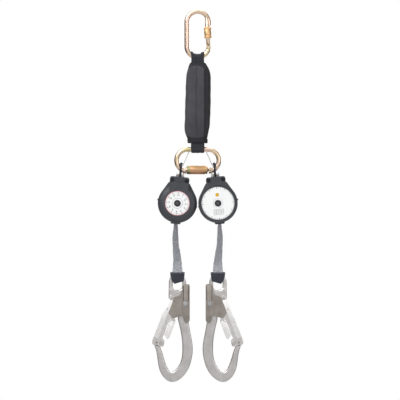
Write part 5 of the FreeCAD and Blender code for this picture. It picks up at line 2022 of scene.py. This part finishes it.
@dataclass
class Hook:
    """A scaffold hook with its gate, back lever, sewn webbing loop and wear pad."""

    side: Side
    eye: tuple[float, float, float] = (-45.5, 0.0, -610.5)
    eye_foot: float = -14.0
    cell: float = 0.7
    rounds: int = 30
    eye_rounds: int = 8
    edge: float = 0.35
    hinge: tuple[float, float, float] = (-12.6, 0.0, -29.5)
    gate_lean: float = 21.1

    def __post_init__(self) -> None:
        """Works out the eye's own place."""
        self.name = self.side.value
        self.body = f"{self.name}_hook"
        self.place = moved(self.side.turn, *self.eye)

    def build(self) -> None:
        """Builds the hook's metal and its soft parts."""
        settle(forged(f"{self.name}_hook_body", "forged_aluminium", self.cell * MM,
                      self.rounds, self.eye_rounds, (self.eye[2] + self.eye_foot) * MM),
               self.body, "forged_aluminium")
        for node, finish, slot, rides in (
                ("hook_rivets", "bright_steel", "pin_steel", self.body),
                ("hook_gate", "gate_steel", "gate_steel", f"{self.name}_hook_gate"),
                ("hook_lever", "lever_steel", "lever_steel", f"{self.name}_hook_lever")):
            settle(refined(f"{self.name}_{node}", finish,
                           Rounding(self.edge * MM, clamped=False)), rides, slot)
        self.lever_ribs()
        self.gate_details()
        self.end_loop()
        self.wear_pad()

    def row(self, name: str, size: Vector, bevel: float, start: Vector, end: Vector,
            count: int, finish: str) -> bpy.types.Object:
        """Repeats a small block along a straight row in the eye's frame.

        Args:
            name: the piece's name.
            size: the block's lengths, the last one along the row.
            bevel: its rounding.
            start: the first one's place.
            end: the last one's place.
            count: how many there are.
            finish: the finish's name.

        Returns:
            The object.
        """
        pitch = (end - start).length / (count - 1) * 0.9999
        return SEAM.follow(name, rounded_block(size, bevel, 1), finish, [(start, end)],
                           pitch, self.place)

    def lever_ribs(self) -> None:
        """The raised plate on both cheeks of the lever's grip, with two near-black bars on each
        that are painted shade for its slots.
        """
        grip = [(11.0, 1.4), (26.4, 1.4), (27.3, -1.0), (27.3, -77.6), (24.6, -83.0),
                (18.4, -83.8), (14.8, -78.6), (12.2, -68.0), (11.0, -50.0)]
        parts = []
        for way in (-1, 1):
            y = way * 10.15
            parts.append(from_bmesh("grip", plate(grip, way * 9.3, way * 10.1, 0.35),
                                    "lever_steel", self.place))
            # Painted shade: near-black bars stand proud of the grip where the slots' shadow
            # lines fall.
            parts.append(self.row("rib", mm(0.7, 34.0, 1.2), 0.00025, mm(13.6, y, -17.5),
                                  mm(25.2, y, -17.5), 2, "dark_screw"))
        settle(joined(f"{self.name}_lever_ribs", parts), f"{self.name}_hook_lever",
               "lever_steel")

    def gate_details(self) -> None:
        """The gate's raised panel and strip, both near white as a painted highlight, its
        serrations, and the fork's rivet.
        """
        lean = Matrix.Rotation(math.radians(self.gate_lean), 4, "Y")
        hinge = moved(Matrix(), *self.hinge) @ lean
        place = self.place @ hinge
        parts = []
        for way in (-1, 1):
            web = [[mm(x, way * (y + lift), z) for x, lift in
                    ((-6.9, 0.0), (-6.7, 0.9), (-6.0, 1.25), (3.4, 1.25), (4.2, 0.9),
                     (4.5, 0.0))]
                   for z, y in ((-3.4, 9.4), (-4.0, 9.8), (-55.0, 9.8), (-57.0, 9.3),
                                (-60.0, 7.8), (-62.0, 7.4), (-94.0, 7.4), (-94.6, 7.0))]
            # Painted highlight: the web panel is given the near-white steel.
            parts.append(from_bmesh("web_panel", loft(web), "painted_highlight_steel", place))
            boss = rounded_block(mm(3.4, 0.8, 6.0), 0.0003, 2)
            parts.append(from_bmesh("web_boss", boss, "gate_steel",
                                    moved(place, -0.8, way * 11.0, -25.0)))
            strip = [(14.6, -50.0), (20.0, -45.5), (25.6, -46.2), (26.4, -60.0),
                     (26.6, -84.0), (23.6, -88.4), (19.0, -85.6), (14.4, -82.0)]
            # Painted highlight: the strip is given the near-white steel too.
            parts.append(from_bmesh("strip", plate(strip, way * 6.4, way * 7.95, 0.5),
                                    "painted_highlight_steel", place))
            ends = [hinge @ mm(x, way * 7.85, -102.0) for x in (10.5, 19.0)]
            parts.append(self.row("tooth", mm(0.5, 8.0, 0.9), 0.0002, *ends, 4,
                                  "lever_steel"))
        head = lathe([(0.0, -9.0), (2.0, -9.0), (2.5, -8.5), (2.6, -7.7), (1.2, -7.6),
                      (1.2, 7.6), (2.6, 7.7), (2.5, 8.5), (2.0, 9.0), (0.0, 9.0)], 24)
        across = Matrix.Rotation(math.pi / 2, 4, "X")
        parts.append(from_bmesh("fork_rivet", head, "pin_steel",
                                moved(place, 3.6, 0, -104.4) @ across))
        settle(joined(f"{self.name}_gate_details", parts), f"{self.name}_hook_gate",
               "gate_steel")

    def end_loop(self) -> None:
        """The webbing's folded and stitched end, which passes through the eye."""
        gap, low = 6.4, 16.6
        crown = 46.4
        front = [(-0.9, crown), (-1.6, crown - 5), (-3.6, crown - 11), (-5.6, 31.0),
                 (-gap, 26.0), (-gap, 21.0)]
        path = [mm(0, y, z) for y, z in front]
        path += arc(mm(0, -gap + 2.6, low + 0.6), 2.6 * MM, 180, 270, 5)
        path += arc(mm(0, gap - 2.6, low + 0.6), 2.6 * MM, 270, 360, 5)
        path += [mm(0, -y, z) for y, z in front[::-1]]
        path = [self.place @ p for p in path]
        across = self.place.to_3x3() @ Vector((1, 0, 0))
        level = [(self.place.inverted() @ p).z / MM for p in path]
        widths = [(22.4 - 2.6 * max(0.0, (z - 34) / 12) if z > 28 else
                   18.8 + 3.6 * max(0.0, (z - 22) / 6)) * MM for z in level]
        piece = strap(f"{self.name}_end_strap", path, [across] * len(path), widths,
                      1.9 * MM, "grey_webbing", 0.05 * MM)
        settle(piece, self.body, "grey_webbing", f"{self.name}_end_loop")

    def pad_hem(self, x: float) -> float:
        """The height of the pad's lower edge at a place across it, in millimetres."""
        if x < -7.0:
            return 3.2 + (16.0 - 3.2) * min(1.0, (-7.0 - x) / 8.0) ** 1.2
        return 3.2 + (9.6 - 3.2) * min(1.0, (x + 7.0) / 22.0)

    def wear_pad(self) -> None:
        """The black woven sleeve over the loop, slanted at its lower edge."""
        half, depth, top, side_end = 14.8, 8.7, 29.4, 21.5
        side_steps, faces_per_width, lengths = 6, 34, 0.8
        work = bmesh.new()
        sheet = work.loops.layers.uv.new("UVMap")
        outline = []
        steps = 16
        for way in (1, -1):
            for i in range(steps + 1):
                s = (i / steps * 2 - 1) * way
                outline.append((half * s, -way * depth * (1 - 0.12 * abs(s) ** 3), True))
            for i in range(1, side_steps):
                angle = math.radians(-90 * way + 180 * i / side_steps)
                outline.append((half * way + 0.9 * math.cos(angle),
                                depth * 0.88 * math.sin(angle), False))
        rows = 12
        grid = []
        for k in range(rows + 1):
            t = k / rows
            row = []
            for x, y, flap in outline:
                end = self.pad_hem(x) if flap else side_end
                z = top + (end - top) * t
                pull = 1 - 0.1 * max(0.0, 1 - t * 4) ** 2
                wave = 0.25 * math.sin(x * 0.7 + z * 0.4) if flap else 0.0
                row.append(work.verts.new(self.place @ mm(x * (1 - 0.03 * t), y * pull + wave,
                                                          z)))
            grid.append(row)
        count = len(outline)
        for k in range(rows):
            for i in range(count):
                j = (i + 1) % count
                patch(work, sheet, (grid[k][i], grid[k][j], grid[k + 1][j], grid[k + 1][i]),
                      (i / faces_per_width, (i + 1) / faces_per_width),
                      (k / rows * lengths, (k + 1) / rows * lengths))
        piece = from_bmesh(f"{self.name}_pad_sleeve", work, "pad_fabric", angle=180)
        thickened(piece, 1.7)
        subdivided(piece)
        baked(piece)
        smooth(piece.data, 60)
        settle(piece, self.body, "black_webbing", f"{self.name}_wear_pad")
        lines = [[self.place @ mm(half * s, way * (depth * (0.93 - 0.1 * abs(s) ** 3) + 1.0),
                                  top - 1.7) for s in (i / 10 - 1 for i in range(21))]
                 for way in (-1, 1)]
        settle(stitched(f"{self.name}_pad_stitches", lines, 0.0024, "pale_thread", 0.0006),
               self.body, "black_webbing")


# --------------------------------------------------------------------------
# Studio
# --------------------------------------------------------------------------


@dataclass
class Studio:
    """The camera, the lamps, the backdrop and a plain pale floor."""

    middle: tuple[float, float] = (0.0052, -0.4187)
    distance: float = 3.0
    lens: float = 120.0
    floor: float = -2.9
    aim: tuple[float, float, float] = (0.0, 0.0, -0.42)

    def build(self) -> None:
        """Builds the studio."""
        self.camera()
        self.lamps()
        self.world()
        self.ground()

    def camera(self) -> None:
        """The camera, level with the middle of the hanging lanyard."""
        data = bpy.data.cameras.new("camera")
        data.lens = self.lens
        data.sensor_width = 36.0
        data.clip_end = 60.0
        eye = linked("camera", data)
        eye.location = (self.middle[0], -self.distance, self.middle[1])
        eye.rotation_euler = (math.pi / 2, 0, 0)
        bpy.context.scene.camera = eye

    def lamp(self, name: str, place: Sequence[float], size: float, power: float) -> None:
        """One soft square lamp, turned to the middle of the lanyard.

        Args:
            name: the lamp's name.
            place: where it stands.
            size: its side in metres.
            power: its power in watts.
        """
        data = bpy.data.lights.new(name, "AREA")
        data.shape = "SQUARE"
        data.size = size
        data.energy = power
        lamp = linked(name, data)
        lamp.location = place
        way = Vector(self.aim) - Vector(place)
        lamp.rotation_euler = way.to_track_quat("-Z", "Y").to_euler()

    def lamps(self) -> None:
        """A key at the upper left, a fill at the right, one lamp above and one behind."""
        self.lamp("key", (-1.4, -1.8, 1.3), 1.4, 52.0)
        self.lamp("fill", (1.9, -1.9, 0.0), 1.6, 14.0)
        self.lamp("crown", (0.0, 0.4, 1.9), 1.4, 22.0)
        self.lamp("back", (0.8, 2.2, 0.3), 1.6, 16.0)

    def world(self) -> None:
        """A grey surround that the camera sees as white."""
        sheet = WorldSheet("studio")
        bpy.context.scene.world = sheet.world
        x, _, z = sheet.split("Generated")
        height = sheet.maths("MULTIPLY_ADD", z, 0.5, 0.5)
        band = sheet.ramp(height, (0.2, (0.3, 0.29, 0.29)), (0.54, WHITE))
        wings = sheet.ramp(sheet.maths("ABSOLUTE", x), (0.42, WHITE),
                           (0.78, (0.12, 0.1, 0.09)))
        dusk = sheet.ramp(height, (0.2, (0.14, 0.14, 0.15)), (0.9, (1.5, 1.52, 1.55)))
        rays = sheet.tree.nodes.new("ShaderNodeLightPath").outputs
        unseen = sheet.choose(rays["Is Glossy Ray"], sheet.glow(dusk, 0.44),
                              sheet.glow(sheet.mix(1.0, band, wings, "MULTIPLY"), 0.9))
        plain = sheet.maths("MAXIMUM", rays["Is Camera Ray"], rays["Is Transmission Ray"])
        out = sheet.tree.nodes.new("ShaderNodeOutputWorld")
        sheet.wire(sheet.choose(plain, unseen, sheet.glow(WHITE, 1.0)),
                   out.inputs["Surface"])

    def ground(self) -> None:
        """The pale floor, far below the hanging lanyard."""
        work = bmesh.new()
        bmesh.ops.create_grid(work, x_segments=8, y_segments=8, size=6.0)
        mesh = bpy.data.meshes.new("floor")
        work.to_mesh(mesh)
        work.free()
        mesh.transform(Matrix.Translation((0, 0, self.floor)))
        sheet = NodeSheet("floor_paper")
        paper = sheet.ramp(sheet.noise(90.0, 2.0), (0.3, grey(0.86)), (0.7, grey(0.9)))
        rays = sheet.tree.nodes.new("ShaderNodeLightPath").outputs
        glow = sheet.maths("MULTIPLY", rays["Is Camera Ray"], FLOOR_GLOW)
        for key, value in (("Base Color", paper), ("Roughness", 0.9),
                           ("Emission Color", WHITE), ("Emission Strength", glow)):
            sheet.put(sheet.shader.inputs[key], value)
        mesh.materials.append(sheet.material)
        linked("floor", mesh)


def main() -> None:
    """Builds the studio and each sub-assembly in order."""
    logging.basicConfig(level=logging.INFO, format="%(name)s: %(message)s")
    scene = bpy.context.scene
    scene.view_settings.view_transform = "Standard"
    Studio().build()
    ScrewCarabiner("top", "top_sleeve_travel").build()
    Absorber().build()
    TwistCarabiner("lower", "lower_sleeve_twist").build()
    for side in Side:
        ReelUnit(side).build()
        Line(side).build()
        Hook(side).build()


if __name__ == "__main__":
    main()
